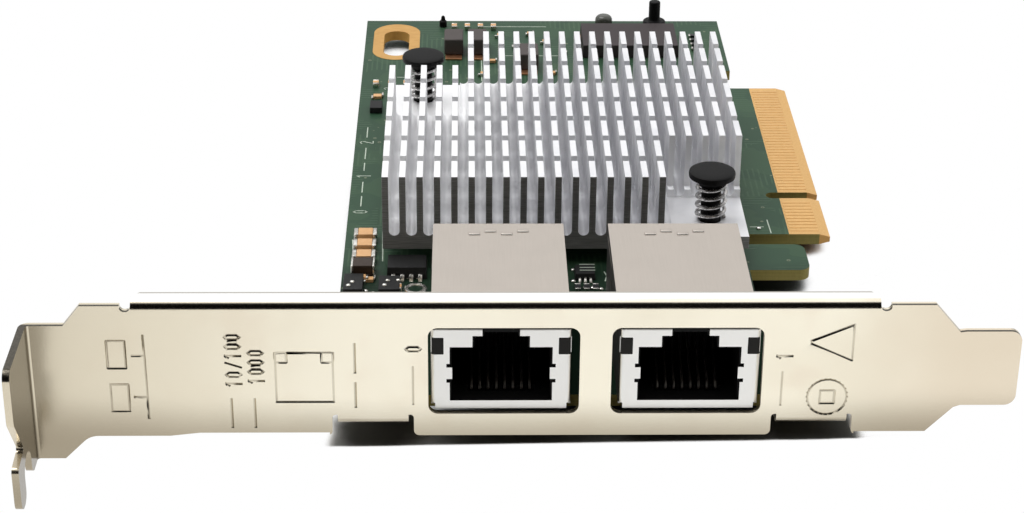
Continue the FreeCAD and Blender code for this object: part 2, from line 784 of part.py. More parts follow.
def gull_leads(x0, x1, y, count, side, root):
    """Row of bent leads along X on one side of a package."""
    leads = []
    pitch = (x1 - x0) / count
    half = pitch * lead_share / 2
    foot = y + side * lead_reach
    knee = y + side * lead_reach * 0.5
    for i in range(count):
        x = x0 + (i + 0.5) * pitch
        path = [(y, root), (knee, root), (foot, lead_thick), (foot, 0), (knee, 0),
                (y, root - lead_thick)]
        leads.append(plate_yz(path, x - half, x + half))
    return leads


def save_package(name, size, lead_count, x0, y0):
    """Moulded package with drafted sides and gull-wing leads along its two long sides."""
    x1 = x0 + size["wide"]
    y1 = y0 + size["deep"]
    top = size["high"]
    low = package_gap
    draft = package_draft
    foot = package_foot
    lower = Part.makePolygon([V(x0, y0, low), V(x1, y0, low), V(x1, y1, low), V(x0, y1, low),
                              V(x0, y0, low)])
    upper = Part.makePolygon([V(x0 + draft, y0 + draft, top), V(x1 - draft, y0 + draft, top),
                              V(x1 - draft, y1 - draft, top), V(x0 + draft, y1 - draft, top),
                              V(x0 + draft, y0 + draft, top)])
    body = join([Part.makeLoft([lower, upper], True, True),
                 block(x0 + foot, x1 - foot, y0 + foot, y1 - foot, 0, low)])
    leads = []
    for side, y in ((-1, y0), (1, y1)):
        leads += gull_leads(x0 + lead_row_inset, x1 - lead_row_inset, y - side * draft / 2, lead_count,
                            side, top / 2)
    save(name, body)
    save(name + "_leads", [lead.cut(body) for lead in leads])


def save_inductors():
    size = power_inductor
    bodies = []
    feet = []
    for x, y in inductor_places:
        x1 = x + size["wide"]
        y1 = y + size["deep"]
        bodies.append(block(x, x1, y, y1, size["foot_high"], size["high"]))
        inset = size["foot_inset"]
        for y2, y3 in ((y - size["foot_out"], y + size["foot_under"]),
                       (y1 - size["foot_under"], y1 + size["foot_behind"])):
            feet.append(block(x + inset, x1 - inset, y2, y3, 0, size["foot_high"]))
    save("power_inductors", bodies)
    save("power_inductor_feet", feet)


def make_crystal():
    """Metal can on its ceramic base."""
    rim = crystal["rim"]
    half = crystal["wide"] / 2
    side = crystal["deep"] / 2
    return join([post(crystal_x, crystal_y, half, side, 0, rim),
                 post(crystal_x, crystal_y, half - rim, side - rim, rim, crystal["high"])])


def make_post(x, y):
    """Nylon board post on its round foot."""
    return join([rod(x, y, 0, board_post_foot, board_post_radius * 2),
                 rod(x, y, 0, board_post_high, board_post_radius)])


def make_screw(x, y):
    """Pan-head screw; its shank fills the hole of the foot."""
    return join([rod(x, y, 0, screw_head_high, screw_head_radius),
                 rod(x, y, -screw_long, 0, screw_radius)])


# ---- build --------------------------------------------------------------------------------
save("circuit_board", make_board())
save("slot_pad_ring", make_pad_ring())
save("edge_fingers_top", make_fingers(0, finger_thick))
save("edge_fingers_bottom", make_fingers(board_low - finger_thick, board_low))
save("bracket", make_bracket())
save("bracket_screws", [make_screw(x, y) for x, y in bracket_screws])

for number, centre in enumerate(jack_centres):
    save("jack_shield_%d" % number, make_shield(centre))
    save("jack_housing_%d" % number, make_housing(centre))
    save("jack_contacts_%d" % number, make_contacts(centre))
    save("jack_lamps_%d" % number, make_lamps(centre))
    save("jack_magnetics_%d" % number, make_magnetics(centre))
    save("jack_pins_%d" % number, make_jack_pins(centre))

save("heatsink", make_heatsink())
for name, (x, y) in push_pins.items():
    save("push_pin_" + name, make_push_pin(x, y))
    save("pin_spring_" + name, make_spring(x, y))

save("controller_substrate", post(sink_centre_x, sink_centre_y, package_wide / 2, package_wide / 2,
                                  0, package_high))
save("controller_lid", post(sink_centre_x, sink_centre_y, lid_wide / 2, lid_wide / 2,
                            package_high, package_high + lid_high))
save("thermal_pad", post(sink_centre_x, sink_centre_y, lid_wide / 2, lid_wide / 2,
                         package_high + lid_high, sink_low))

save_chips("output_capacitors", large_chip, output_capacitor_places)
save_chips("tantalum_capacitor", tantalum, [tantalum_place])
save_chips("small_capacitors", small_chip, small_capacitor_places)
save_chips("chip_resistors", thin_chip, resistor_places)
save_package("flash_memory", flash, flash_lead_count, flash_left, flash_front)
save_package("power_module", module, module_lead_count, module_left, module_front)
save_package("port_driver", driver, driver_lead_count, driver_left, driver_front)
save_inductors()
save("crystal_can", make_crystal())
save("status_lamp", rod(module_left + lamp_from_left, behind_module, 0, lamp_dome_high, lamp_dome_radius))
save("board_post", make_post(module_left + module["wide"] - post_from_right, behind_module))
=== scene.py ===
import bpy
import bmesh
import math
from mathutils import Matrix, Vector


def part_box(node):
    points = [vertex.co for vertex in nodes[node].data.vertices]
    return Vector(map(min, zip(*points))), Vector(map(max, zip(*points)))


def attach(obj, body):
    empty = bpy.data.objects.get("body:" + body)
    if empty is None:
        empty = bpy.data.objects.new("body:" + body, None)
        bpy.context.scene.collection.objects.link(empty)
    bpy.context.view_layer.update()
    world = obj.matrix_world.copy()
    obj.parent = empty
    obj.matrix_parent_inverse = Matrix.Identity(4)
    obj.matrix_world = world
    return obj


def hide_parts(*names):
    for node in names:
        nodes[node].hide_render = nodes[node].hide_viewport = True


mm = 0.001
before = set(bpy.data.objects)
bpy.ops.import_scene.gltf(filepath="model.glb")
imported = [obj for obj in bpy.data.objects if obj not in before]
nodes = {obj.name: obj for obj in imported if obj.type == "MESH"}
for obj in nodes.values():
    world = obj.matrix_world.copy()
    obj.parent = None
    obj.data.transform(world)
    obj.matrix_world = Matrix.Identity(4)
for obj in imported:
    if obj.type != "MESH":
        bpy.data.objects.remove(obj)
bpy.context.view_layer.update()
print("frame loaded:", len(nodes), "nodes")


class Sig:                                    # a socket that Python's operators work on
    def __init__(self, finish, socket):
        self.finish = finish
        self.socket = socket

    def calc(self, operation, *others, first=False):
        values = [*others, self] if first else [self, *others]
        return self.finish.node("ShaderNodeMath", {"operation": operation}, values)

    def __add__(self, other):
        return self.calc("ADD", other)

    def __sub__(self, other):
        return self.calc("SUBTRACT", other)

    def __rsub__(self, other):
        return self.calc("SUBTRACT", other, first=True)

    def __mul__(self, other):
        return self.calc("MULTIPLY", other)

    def __lt__(self, other):
        return self.calc("LESS_THAN", other)

    def __gt__(self, other):
        return self.calc("GREATER_THAN", other)

    def __abs__(self):
        return self.calc("ABSOLUTE")

    def __and__(self, other):                 # both masks
        return self.calc("MINIMUM", other)

    def __or__(self, other):                  # either mask
        return self.calc("MAXIMUM", other)

    __radd__ = __add__
    __rmul__ = __mul__

    def fade(self, low, high):                # 0 below low, 1 above high, smooth between
        return self.finish.node("ShaderNodeMapRange", {"interpolation_type": "SMOOTHSTEP"},
                                {"Value": self, "From Min": low, "From Max": high})

    def ripple(self, pitch):                  # 0 at each multiple of pitch, 1 midway
        return self.calc("PINGPONG", pitch / 2) * (2 / pitch)


class Finish:
    def __init__(self, owner):                # a material or the world
        owner.use_nodes = True
        self.owner = owner
        self.tree = owner.node_tree
        self.tree.nodes.clear()

    def node(self, kind, settings=None, sockets=(), out=0):
        made = self.tree.nodes.new(kind)
        for key, value in (settings or {}).items():
            setattr(made, key, value)
        pairs = sockets.items() if isinstance(sockets, dict) else enumerate(sockets)
        for key, value in pairs:
            if isinstance(value, Sig):
                self.tree.links.new(value.socket, made.inputs[key])
            else:
                made.inputs[key].default_value = value
        return Sig(self, made.outputs[out]) if made.outputs else None

    def place(self):                          # object coordinates in millimetres
        spot = self.node("ShaderNodeTexCoord", out="Object")
        return self.node("ShaderNodeVectorMath", {"operation": "SCALE"}, {"Vector": spot, "Scale": 1 / mm})

    def facing(self):                         # the way a face points, as three numbers
        return self.split(self.node("ShaderNodeNewGeometry", out="Normal"))

    def split(self, vector):
        return [self.node("ShaderNodeSeparateXYZ", {}, [vector], out=i) for i in range(3)]

    def stretched(self, spot, x, y, z):
        return self.node("ShaderNodeVectorMath", {"operation": "MULTIPLY"}, [spot, (x, y, z)])

    def noise(self, spot, scale, detail=3):
        return self.node("ShaderNodeTexNoise", {}, {"Vector": spot, "Scale": scale, "Detail": detail})

    def mix(self, mask, low, high):
        return self.node("ShaderNodeMix", {"data_type": "RGBA"}, {0: mask, 6: low, 7: high}, out=2)

    def bump(self, height, depth):            # depth in millimetres
        return self.node("ShaderNodeBump", {}, {"Height": height, "Distance": depth * mm, "Strength": 0.5})

    def shade(self, **sockets):
        named = {key.replace("_", " "): value for key, value in sockets.items()}
        surface = self.node("ShaderNodeBsdfPrincipled", {}, named)
        self.node("ShaderNodeOutputMaterial", {}, {"Surface": surface})
        return self.owner


def newFinish(name):
    return Finish(bpy.data.materials.new(name))


def tint(r, g, b):                            # a colour as it looks on screen, 0 to 255
    linear = [((c / 255 + 0.055) / 1.055) ** 2.4 if c > 10 else c / 255 / 12.92 for c in (r, g, b)]
    return (*linear, 1)


def nickelPlate():
    look = {"light": tint(255, 248, 228), "shade": tint(236, 226, 203), "rose": tint(238, 222, 200),
            "tabSideShade": tint(214, 203, 180), "low": tint(166, 155, 134), "tongue": tint(232, 217, 194),
            "rim": tint(186, 182, 174), "inside": tint(128, 120, 104), "grooveShade": tint(132, 122, 102),
            "darkBendReflection": tint(34, 32, 29), "flange": tint(255, 255, 253), "rough": 0.22,
            "tabFade": (-66, -14), "tongueFade": (28, 46), "lowFade": (-4.2, 3.2),
            "cornerFade": (-5, 4), "rightFade": (22, 36), "tabThick": 2.5, "flangeFrom": 0.9,
            "flangeRim": 2.32, "groove": (0.012, 0.06), "grooveTo": 0.3, "bend": (0.36, 0.5), "upperFrom": 4}
    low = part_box("bracket")[0]
    f = newFinish("nickel_plate")
    spot = f.place()
    x, y, z = f.split(spot)
    cloud = f.noise(spot, 0.05, 3)
    blush = f.noise(spot, 0.13, 2)
    grain = f.noise(spot, 6.0, 4)
    rub = f.noise(f.stretched(spot, 0.6, 1, 6), 0.7, 3)
    colour = f.mix(cloud.fade(0.42, 0.7) * 0.5, look["light"], look["shade"])
    colour = f.mix(blush.fade(0.5, 0.75) * 0.3, colour, look["rose"])
    tabSide = 1 - (x + cloud * 20).fade(*look["tabFade"])   # painted shade: the plate is darker towards its tab
    colour = f.mix(tabSide * 0.9, colour, look["tabSideShade"])
    colour = f.mix(x.fade(*look["tongueFade"]) * 0.8, colour, look["tongue"])
    # painted shade: the plate is darker along its bottom and at its lower corners
    colour = f.mix((1 - (z + cloud * 2).fade(*look["lowFade"])) * 0.85, colour, look["low"])
    sides = x.fade(*look["rightFade"]) | tabSide
    colour = f.mix((1 - z.fade(*look["cornerFade"])) * sides * 0.6, colour, look["low"])
    across, along, up = f.facing()
    # painted shade: the faces of the tab that point sideways are darker
    colour = f.mix(across.fade(0.45, 0.8) & (x < low.x / mm + look["tabThick"]), colour, look["inside"])
    # painted highlight: the flange's upward faces are near white
    colour = f.mix(up.fade(0.75, 0.95) & (y > look["flangeFrom"]), colour, look["flange"])
    # painted shade: the flange is greyer on its partly upward faces towards its rear
    colour = f.mix(up.fade(0.2, 0.5) & (y > look["flangeRim"]), colour, look["rim"])
    # painted shade in the stamped grooves, varied by a cloud
    recess = y.fade(*look["groove"]) & (y < look["grooveTo"]) & (0 - along).fade(0.2, 0.5)
    colour = f.mix(recess * (blush * 0.5 + 0.12), colour, look["grooveShade"])
    # painted reflection: the sheared and bent upper edges are dark, for the dark room seen mirrored in them
    upper = up.fade(0.2, 0.45) & (1 - y.fade(*look["bend"])) & (z > look["upperFrom"])
    colour = f.mix(upper * (grain * 0.4 + 0.7), colour, look["darkBendReflection"])
    return f.shade(Base_Color=colour, Metallic=0.95,
                   Roughness=grain * 0.08 + rub * 0.08 + (look["rough"] - 0.08),
                   Normal=f.bump(grain + rub * 0.6, 0.006))


def tinPlate():
    look = {"light": tint(199, 190, 181), "shade": tint(188, 180, 171), "front": tint(255, 254, 250),
            "wall": tint(104, 102, 100), "lip": tint(34, 33, 32), "rough": 0.42,
            "wallWithin": 3.4, "lipTo": 2.5}
    f = newFinish("tin_plate")
    spot = f.place()
    cloud = f.noise(spot, 0.25, 3)
    roll = f.noise(f.stretched(spot, 3, 0.12, 3), 1.6, 3)
    speck = f.noise(spot, 9, 2)
    colour = f.mix(cloud * 0.6 + roll * 0.4, look["light"], look["shade"])
    across, along, up = f.facing()
    colour = f.mix((0 - along).fade(0.4, 0.8), colour, look["front"])     # painted highlight: the rolled face round the mouth, and other faces that point to the front, are brighter
    x, y = f.split(spot)[:2]
    # painted shade on the side walls near the middle of the card
    between = abs(across).fade(0.6, 0.9) & (abs(x) < look["wallWithin"])
    colour = f.mix(between, colour, look["wall"])
    colour = f.mix(up.fade(0.3, 0.6) & (y < look["lipTo"]), colour, look["lip"])    # painted shade on the top under the flange
    return f.shade(Base_Color=colour, Metallic=0.8,
                   Roughness=roll * 0.12 + speck * 0.1 + (look["rough"] - 0.11),
                   Normal=f.bump(roll + speck * 0.4, 0.006))


def finAluminium():
    look = {"drawn": tint(246, 246, 248), "worn": tint(226, 227, 231), "sawnAndShade": tint(108, 108, 106),
            "bright": tint(254, 254, 255), "rough": 0.42, "end": 0.05, "brightFade": (-16, 4)}
    low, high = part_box("heatsink")
    f = newFinish("fin_aluminium")
    spot = f.place()
    x, y = f.split(spot)[:2]
    ends = (y < low.y / mm + look["end"]) | (y > high.y / mm - look["end"])
    drawLines = f.noise(f.stretched(spot, 6, 0.05, 6), 1.2, 3)
    sawLines = f.noise(f.stretched(spot, 0.3, 1, 7), 1.4, 2)
    cloud = f.noise(spot, 0.2, 2)
    colour = f.mix(cloud.fade(0.4, 0.75) * 0.6, look["drawn"], look["worn"])
    # painted highlight: the fins are brighter towards the left
    colour = f.mix(1 - (x + cloud * 6).fade(*look["brightFade"]), colour, look["bright"])
    # the end faces are darker, partly for their sawn finish and partly as painted shade
    colour = f.mix(ends * (sawLines * 0.3 + 0.75), colour, look["sawnAndShade"])
    return f.shade(Base_Color=colour, Metallic=0.5 - ends * 0.1,
                   Roughness=ends * 0.2 + drawLines * 0.14 + (look["rough"] - 0.07),
                   Normal=f.bump(f.mix(ends, drawLines, sawLines), 0.015))


def goldPlate(name, base, tabSideShade, rough=0.3):
    f = newFinish(name)
    spot = f.place()
    cloud = f.noise(spot, 0.5, 3)
    wipe = f.noise(f.stretched(spot, 0.4, 5, 1), 1.5, 3)
    colour = f.mix(cloud * 0.6 + wipe.fade(0.45, 0.7) * 0.4, base, tabSideShade)
    return f.shade(Base_Color=colour, Metallic=0.9, Roughness=wipe * 0.2 + (rough - 0.1),
                   Normal=f.bump(wipe, 0.006))


def softMetal(name, light, dark, rough, size=1.2, depth=0.02):
    f = newFinish(name)
    cloud = f.noise(f.place(), size, 3)
    return f.shade(Base_Color=f.mix(cloud.fade(0.3, 0.7), light, dark), Metallic=0.92,
                   Roughness=cloud * 0.24 + (rough - 0.12), Normal=f.bump(cloud, depth))


def solderMask():
    look = {"mask": tint(50, 78, 58), "pour": tint(58, 86, 62), "track": tint(72, 99, 74),
            "via": tint(140, 148, 122), "hole": tint(18, 26, 18), "laminate": tint(148, 138, 78),
            "core": tint(112, 102, 56), "bare": tint(238, 196, 136), "bevel": tint(208, 160, 94),
            "front": tint(26, 42, 32), "plated": tint(196, 154, 84), "strip": tint(28, 43, 33),
            "trackPitch": 0.8, "slantPitch": 1.15, "layer": 0.22, "bareBefore": 0.25, "bareBeyond": 2,
            "jackShadeFade": (35, 42), "shadedMattFade": (22, 36), "stripTo": 1.2}
    low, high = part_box("edge_fingers_top")
    f = newFinish("solder_mask")
    spot = f.place()
    x, y, z = f.split(spot)
    flat = abs(f.facing()[2]).fade(0.85, 0.97)
    bundled = f.noise(spot, 0.16, 1).fade(0.5, 0.54)    # where bundles of tracks run
    cell = f.node("ShaderNodeTexVoronoi", {"distance": "CHEBYCHEV"}, {"Vector": spot, "Scale": 0.12},
                  out="Color")
    pick, cellEdge = f.split(cell)[:2]
    pitch = look["trackPitch"]
    runs = [axis.ripple(step).fade(0.6, 0.75)
            for axis, step in ((x, pitch), (y, pitch), (x + y, look["slantPitch"]))]
    lines = f.split(f.mix(pick > 0.42, f.mix(pick > 0.72, runs[0], runs[2]), runs[1]))[0] & bundled
    pour = f.noise(spot, 0.1, 2).fade(0.52, 0.54)
    dots = f.node("ShaderNodeTexVoronoi", {}, {"Vector": spot, "Scale": 0.4, "Randomness": 0.9},
                  out="Distance")
    via = 1 - dots.fade(0.09, 0.13)
    hole = 1 - dots.fade(0.035, 0.06)
    top = f.mix(pour * 0.7, look["mask"], look["pour"])
    top = f.mix(lines * 0.6, top, look["track"])
    nearJacks = 1 - (y + cellEdge * 3).fade(*look["jackShadeFade"])      # painted shade: the mask is darker near the jacks
    top = f.mix(nearJacks * 0.8, top, look["front"])
    top = f.mix(via * 0.6, top, look["via"])
    top = f.mix(hole * 0.9, top, look["hole"])
    weave = f.noise(f.stretched(spot, 2, 2, 0.4), 2.2, 3)
    beyond = look["bareBeyond"]
    bared = (x > low.x / mm - look["bareBefore"]) & (y > low.y / mm - beyond) & (y < high.y / mm + beyond)
    outer = bared & (x > high.x / mm + 0.02)
    top = f.mix(bared, top, f.mix(weave, look["bare"], look["bevel"]))
    layers = z.ripple(look["layer"]).fade(0.3, 0.7)
    side = f.mix(layers * 0.5 + weave * 0.5, look["laminate"], look["core"])
    side = f.mix(outer, side, look["bevel"])
    # painted shade: the board's side faces at its front edge are dark
    side = f.mix(y < look["stripTo"], side, look["strip"])
    ringLow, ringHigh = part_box("slot_pad_ring")
    inSlot = (x < ringHigh.x / mm) & (x > ringLow.x / mm) & (y > ringLow.y / mm) & (y < ringHigh.y / mm)
    side = f.mix(inSlot, side, look["plated"])
    masked = flat * (1 - bared)
    height = (lines | pour * 0.6) | via
    gloss = f.node("ShaderNodeBsdfPrincipled", {}, {
        "Base Color": f.mix(flat, side, top), "Roughness": 0.6 - masked * 0.22 + weave * 0.08,
        "Specular IOR Level": 0.15, "Normal": f.bump(height * masked + weave * (1 - masked) * 0.5, 0.03)})
    shadedMatt = f.node("ShaderNodeBsdfDiffuse", {}, {"Color": look["strip"]})
    between = flat & (1 - y.fade(*look["shadedMattFade"])) & (z > -0.5)    # painted shade: round the jacks the top is a plain dark matt
    surface = f.node("ShaderNodeMixShader", {}, {0: between, 1: gloss, 2: shadedMatt})
    f.node("ShaderNodeOutputMaterial", {}, {"Surface": surface})
    return f.owner


def silkInk():
    f = newFinish("silk_ink")
    speck = f.noise(f.place(), 6, 3)
    return f.shade(Base_Color=f.mix(speck.fade(0.5, 0.75) * 0.5, tint(196, 208, 192), tint(130, 150, 130)),
                   Roughness=0.6)


def moulded(name, base, high, rough, grainSize=7.0, depth=0.01, gloss=0.35):
    f = newFinish(name)
    spot = f.place()
    grain = f.noise(spot, grainSize, 3)
    cloud = f.noise(spot, 0.4, 2)
    return f.shade(Base_Color=f.mix(grain * 0.5 + cloud * 0.5, base, high),
                   Roughness=grain * 0.16 + (rough - 0.08), Specular_IOR_Level=gloss,
                   Normal=f.bump(grain, depth))


finishes = {
    "nickel": nickelPlate(),
    "tin": tinPlate(),
    "aluminium": finAluminium(),
    "gold": goldPlate("gold_plate", tint(236, 190, 122), tint(214, 166, 100)),
    "padGold": goldPlate("pad_gold", tint(226, 180, 106), tint(198, 146, 76), 0.4),
    # painted shade: the contacts are dark grey, not gold, for the shade inside the jack mouth
    "shadedContactGold": goldPlate("contact_gold", tint(150, 144, 134), tint(92, 88, 82), 0.35),
    "copper": goldPlate("copper_tinned", tint(214, 158, 118), tint(168, 114, 78), 0.4),
    "solder": softMetal("solder_tin", tint(240, 238, 232), tint(176, 173, 166), 0.25, 1.6, 0.03),
    "spring": softMetal("spring_wire", tint(208, 206, 204), tint(150, 148, 148), 0.26, 3.0, 0.005),
    "zinc": softMetal("screw_zinc", tint(212, 210, 205), tint(160, 158, 154), 0.3),
    "lid": softMetal("lid_nickel", tint(190, 190, 188), tint(160, 160, 158), 0.35),
    "board": solderMask(),
    "silk": silkInk(),
    "substrate": moulded("package_laminate", tint(46, 92, 58), tint(38, 76, 48), 0.45, 3.0),
    "nylon": moulded("black_nylon", tint(14, 14, 15), tint(24, 23, 23), 0.5, 9.0, 0.015, 0.12),
    "jackPlastic": moulded("jack_plastic", tint(14, 14, 14), tint(22, 21, 21), 0.6, gloss=0.15),
    "lampWindow": moulded("lamp_window", tint(26, 25, 23), tint(36, 34, 31), 0.45, 4.0, 0.004, 0.2),
    "resin": moulded("package_resin", tint(34, 34, 35), tint(48, 48, 48), 0.6, 10.0, 0.012, 0.2),
    "moduleResin": moulded("module_resin", tint(60, 54, 55), tint(76, 69, 70), 0.6, 8.0, 0.012, 0.2),
    "ferrite": moulded("ferrite_grey", tint(80, 74, 72), tint(96, 90, 88), 0.65, 5.0, 0.02, 0.2),
    "ceramic": moulded("capacitor_ceramic", tint(234, 188, 136), tint(216, 162, 108), 0.5, 5.0, 0.015),
    "tantalum": moulded("tantalum_resin", tint(62, 46, 34), tint(48, 36, 28), 0.5),
    "glaze": moulded("resistor_glaze", tint(26, 26, 28), tint(40, 40, 42), 0.4),
    "pad": moulded("pad_rubber", tint(120, 120, 124), tint(100, 100, 104), 0.8),
    "lampResin": moulded("lamp_resin", tint(84, 86, 78), tint(66, 66, 60), 0.2, 0.8, 0.004, 0.5),
}
print("finishes made:", len(finishes))


def levelNormals(piece):                      # broad faces stay flat beside their softened edges
    weighted = piece.modifiers.new("weighted", "WEIGHTED_NORMAL")
    weighted.keep_sharp = True
    weighted.weight = 80


def asMesh(name, shape):                      # the bmesh is used up
    mesh = bpy.data.meshes.new(name)
    shape.to_mesh(mesh)
    shape.free()
    return mesh


def inScene(name, data):
    added = bpy.data.objects.new(name, data)
    bpy.context.scene.collection.objects.link(added)
    return added


def addPiece(name, shape, finish, replaced=(), smooth=35):
    mesh = asMesh(name, shape)
    for face in mesh.polygons:
        face.use_smooth = True
    mesh.set_sharp_from_angle(angle=math.radians(smooth))
    mesh.materials.append(finishes[finish])
    piece = inScene(name, mesh)
    levelNormals(piece)
    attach(piece, "root")
    if replaced:
        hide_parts(*replaced)


def dressNode(nodeName, finish):              # a CAD node that is shown as it is
    materials = nodes[nodeName].data.materials
    materials.clear()
    materials.append(finishes[finish])


weldWithin = 0.0005 * mm
flatWithin = math.radians(0.6)
sharpFrom = 40                                # degrees between two faces whose edge is softened


def joinFlat(shape):                          # neighbouring faces in one plane become one face
    bmesh.ops.dissolve_limit(shape, angle_limit=flatWithin, use_dissolve_boundaries=False,
                             verts=shape.verts, edges=shape.edges)


def merged(nodeName, join=True):              # a CAD node's mesh as one closed skin
    shape = bmesh.new()
    shape.from_mesh(nodes[nodeName].data)
    bmesh.ops.remove_doubles(shape, verts=shape.verts, dist=weldWithin)
    if join:
        joinFlat(shape)
    return shape


def shells(nodeName):                         # the box round each separate solid of a node
    shape = merged(nodeName, join=False)
    left, boxes = set(shape.verts), []
    while left:
        group = [left.pop()]
        for vert in group:
            near = [e.other_vert(vert) for e in vert.link_edges]
            fresh = [v for v in near if v in left]
            left.difference_update(fresh)
            group += fresh
        boxes.append([Vector(pick(v.co[i] for v in group) for i in range(3)) for pick in (min, max)])
    shape.free()
    return boxes


def roundEdges(shape, edges, width, segments):
    bmesh.ops.bevel(shape, geom=edges, offset=width * mm, offset_type="OFFSET", segments=segments,
                    profile=0.5, affect="EDGES", material=-1, clamp_overlap=True)


def softenEdges(shape, width, segments):
    sharp = [e for e in shape.edges if len(e.link_faces) == 2
             and math.degrees(e.calc_face_angle(0)) > sharpFrom]
    roundEdges(shape, sharp, width, segments)


def refine(nodeName, finish, width, segments=1):
    shape = merged(nodeName)
    softenEdges(shape, width, segments)
    addPiece(nodeName + "_finished", shape, finish, [nodeName])


def boxShape(shape, low, high, width=0.0, segments=1):
    made = bmesh.ops.create_cube(shape, size=1)["verts"]
    size = [(end - start) * mm for start, end in zip(low, high)]
    centre = [(end + start) / 2 * mm for start, end in zip(low, high)]
    bmesh.ops.scale(shape, vec=size, verts=made)
    bmesh.ops.translate(shape, vec=centre, verts=made)
    if width:
        roundEdges(shape, list({e for v in made for e in v.link_edges}), width, segments)


def turned(shape, profile, x, y, z=0, steps=36):   # (radius, height) points spun about an upright axis
    line = [shape.verts.new((x * mm + r * mm, y * mm, (z + h) * mm)) for r, h in profile]
    edges = [shape.edges.new(pair) for pair in zip(line, line[1:])]
    bmesh.ops.spin(shape, geom=line + edges, cent=(x * mm, y * mm, 0), axis=(0, 0, 1), dvec=(0, 0, 0),
                   angle=math.tau, steps=steps, use_merge=True)


def closeUp(shape):                           # one skin with its normals outward
    bmesh.ops.remove_doubles(shape, verts=shape.verts, dist=weldWithin)
    bmesh.ops.recalc_face_normals(shape, faces=shape.faces)


def carved(shape, cutterShape):               # boolean difference of two shapes
    whole = inScene("whole", asMesh("whole", shape))
    cutter = inScene("cutter", asMesh("cutter", cutterShape))
    cut = whole.modifiers.new("cut", "BOOLEAN")
    cut.operation = "DIFFERENCE"
    cut.object = cutter
    cut.solver = "EXACT"
    cut.use_self = True
    bpy.context.view_layer.update()
    result = bmesh.new()
    result.from_mesh(whole.evaluated_get(bpy.context.evaluated_depsgraph_get()).to_mesh())
    for piece in (whole, cutter):
        bpy.data.objects.remove(piece)
    return result


# strokes of plain numerals, in a box one wide and two high
numerals = {
    "0": [((0.15, 0.4), (0.15, 1.6)), ((0.15, 1.6), (0.5, 2)), ((0.5, 2), (0.85, 1.6)),
          ((0.85, 1.6), (0.85, 0.4)), ((0.85, 0.4), (0.5, 0)), ((0.5, 0), (0.15, 0.4))],
    "1": [((0.2, 1.6), (0.55, 2)), ((0.55, 2), (0.55, 0))],
    "2": [((0.1, 1.7), (0.5, 2)), ((0.5, 2), (0.9, 1.6)), ((0.9, 1.6), (0.1, 0)), ((0.1, 0), (0.9, 0))],
    "/": [((0.15, 0), (0.85, 2))],
}
numeralPitch = 1.35


def numeralStrokes(word, start, size):        # the word reads along the second axis, its top towards -x
    strokes = []
    for i, sign in enumerate(word):
        for ends in numerals[sign]:
            strokes.append(tuple((start[0] - v * size, start[1] + (i * numeralPitch + u) * size)
                                 for u, v in ends))
    return strokes


def boxStrokes(x0, z0, x1, z1):
    return [((x0, z0), (x1, z0)), ((x1, z0), (x1, z1)), ((x1, z1), (x0, z1)), ((x0, z1), (x0, z0))]


bracketShape = {
    "edge": 0.17, "edgeSteps": 4, "smooth": 25, "plateBack": 0.9, "plateLow": -3.79, "clear": 1,
    "lowTrim": 0.42, "leftFoot": -32.2, "rightFoot": 31.8, "rampFrom": -62.0, "ramp": 14.0, "trimFrom": -5,
    "highTrim": 0.5, "flangeLeft": -55.4, "flangeRight": 33.9, "tabClear": 6,
}
stampedMarks = {
    "wide": 0.4, "deep": 0.12, "ringSteps": 26,
    "squares": [(-58.5, 5.7, -56.4, 9.4), (-58.4, -0.3, -56.3, 3.4)],
    "bus": [((-54.1, 10.2), (-54.0, -1.3)), ((-55.6, 7.4), (-54.1, 7.4)), ((-55.6, 1.7), (-54.1, 1.7))],
    "port": (-38.5, 1.0, -31.6, 7.75), "portLamp": 1.3,
    "triangle": [(25.9, 9.3), (30.9, 11.5), (30.9, 6.6), (25.9, 8.9)],
    "ring": (28.2, 1.5, 2.4), "inner": 0.85,
    "numbers": [("10/100", (-42.6, 3.0), 0.95), ("1000", (-39.9, 3.4), 0.95),
                ("0", (-21.0, 7.75), 0.95), ("1", (23.7, 6.7), 0.95)],
    "bars": [((-44.0, -2.6), (-44.0, 1.4)), ((-41.2, -2.6), (-41.2, 1.4)), ((-29.0, 0.2), (-29.0, 3.6)),
             ((-29.0, 5.0), (-29.0, 9.0)), ((-22.0, 0.6), (-22.0, 5.8)), ((22.6, 0.4), (22.6, 5.0))],
}


def markStrokes(marks):                       # every stamped line as a pair of (x, z) ends
    strokes = marks["bus"] + marks["bars"]
    for corners in marks["squares"]:
        strokes += boxStrokes(*corners)
    x0, z0, x1, z1 = marks["port"]
    lamp = marks["portLamp"]
    strokes += boxStrokes(x0, z0, x1, z1)
    strokes += boxStrokes(x0, z1 - lamp, x0 + lamp, z1) + boxStrokes(x1 - lamp, z1 - lamp, x1, z1)
    tip = marks["triangle"]
    strokes += [(tip[i - 1], tip[i]) for i in range(len(tip))]
    for word, start, size in marks["numbers"]:
        strokes += numeralStrokes(word, start, size)
    x, z, radius = marks["ring"]
    turns = [i * math.tau / marks["ringSteps"] for i in range(marks["ringSteps"] + 1)]
    rim = [(x + radius * math.cos(turn), z + radius * math.sin(turn)) for turn in turns]
    strokes += list(zip(rim, rim[1:]))
    inner = marks["inner"]
    strokes += boxStrokes(x - inner, z - inner, x + inner, z + inner)
    return strokes


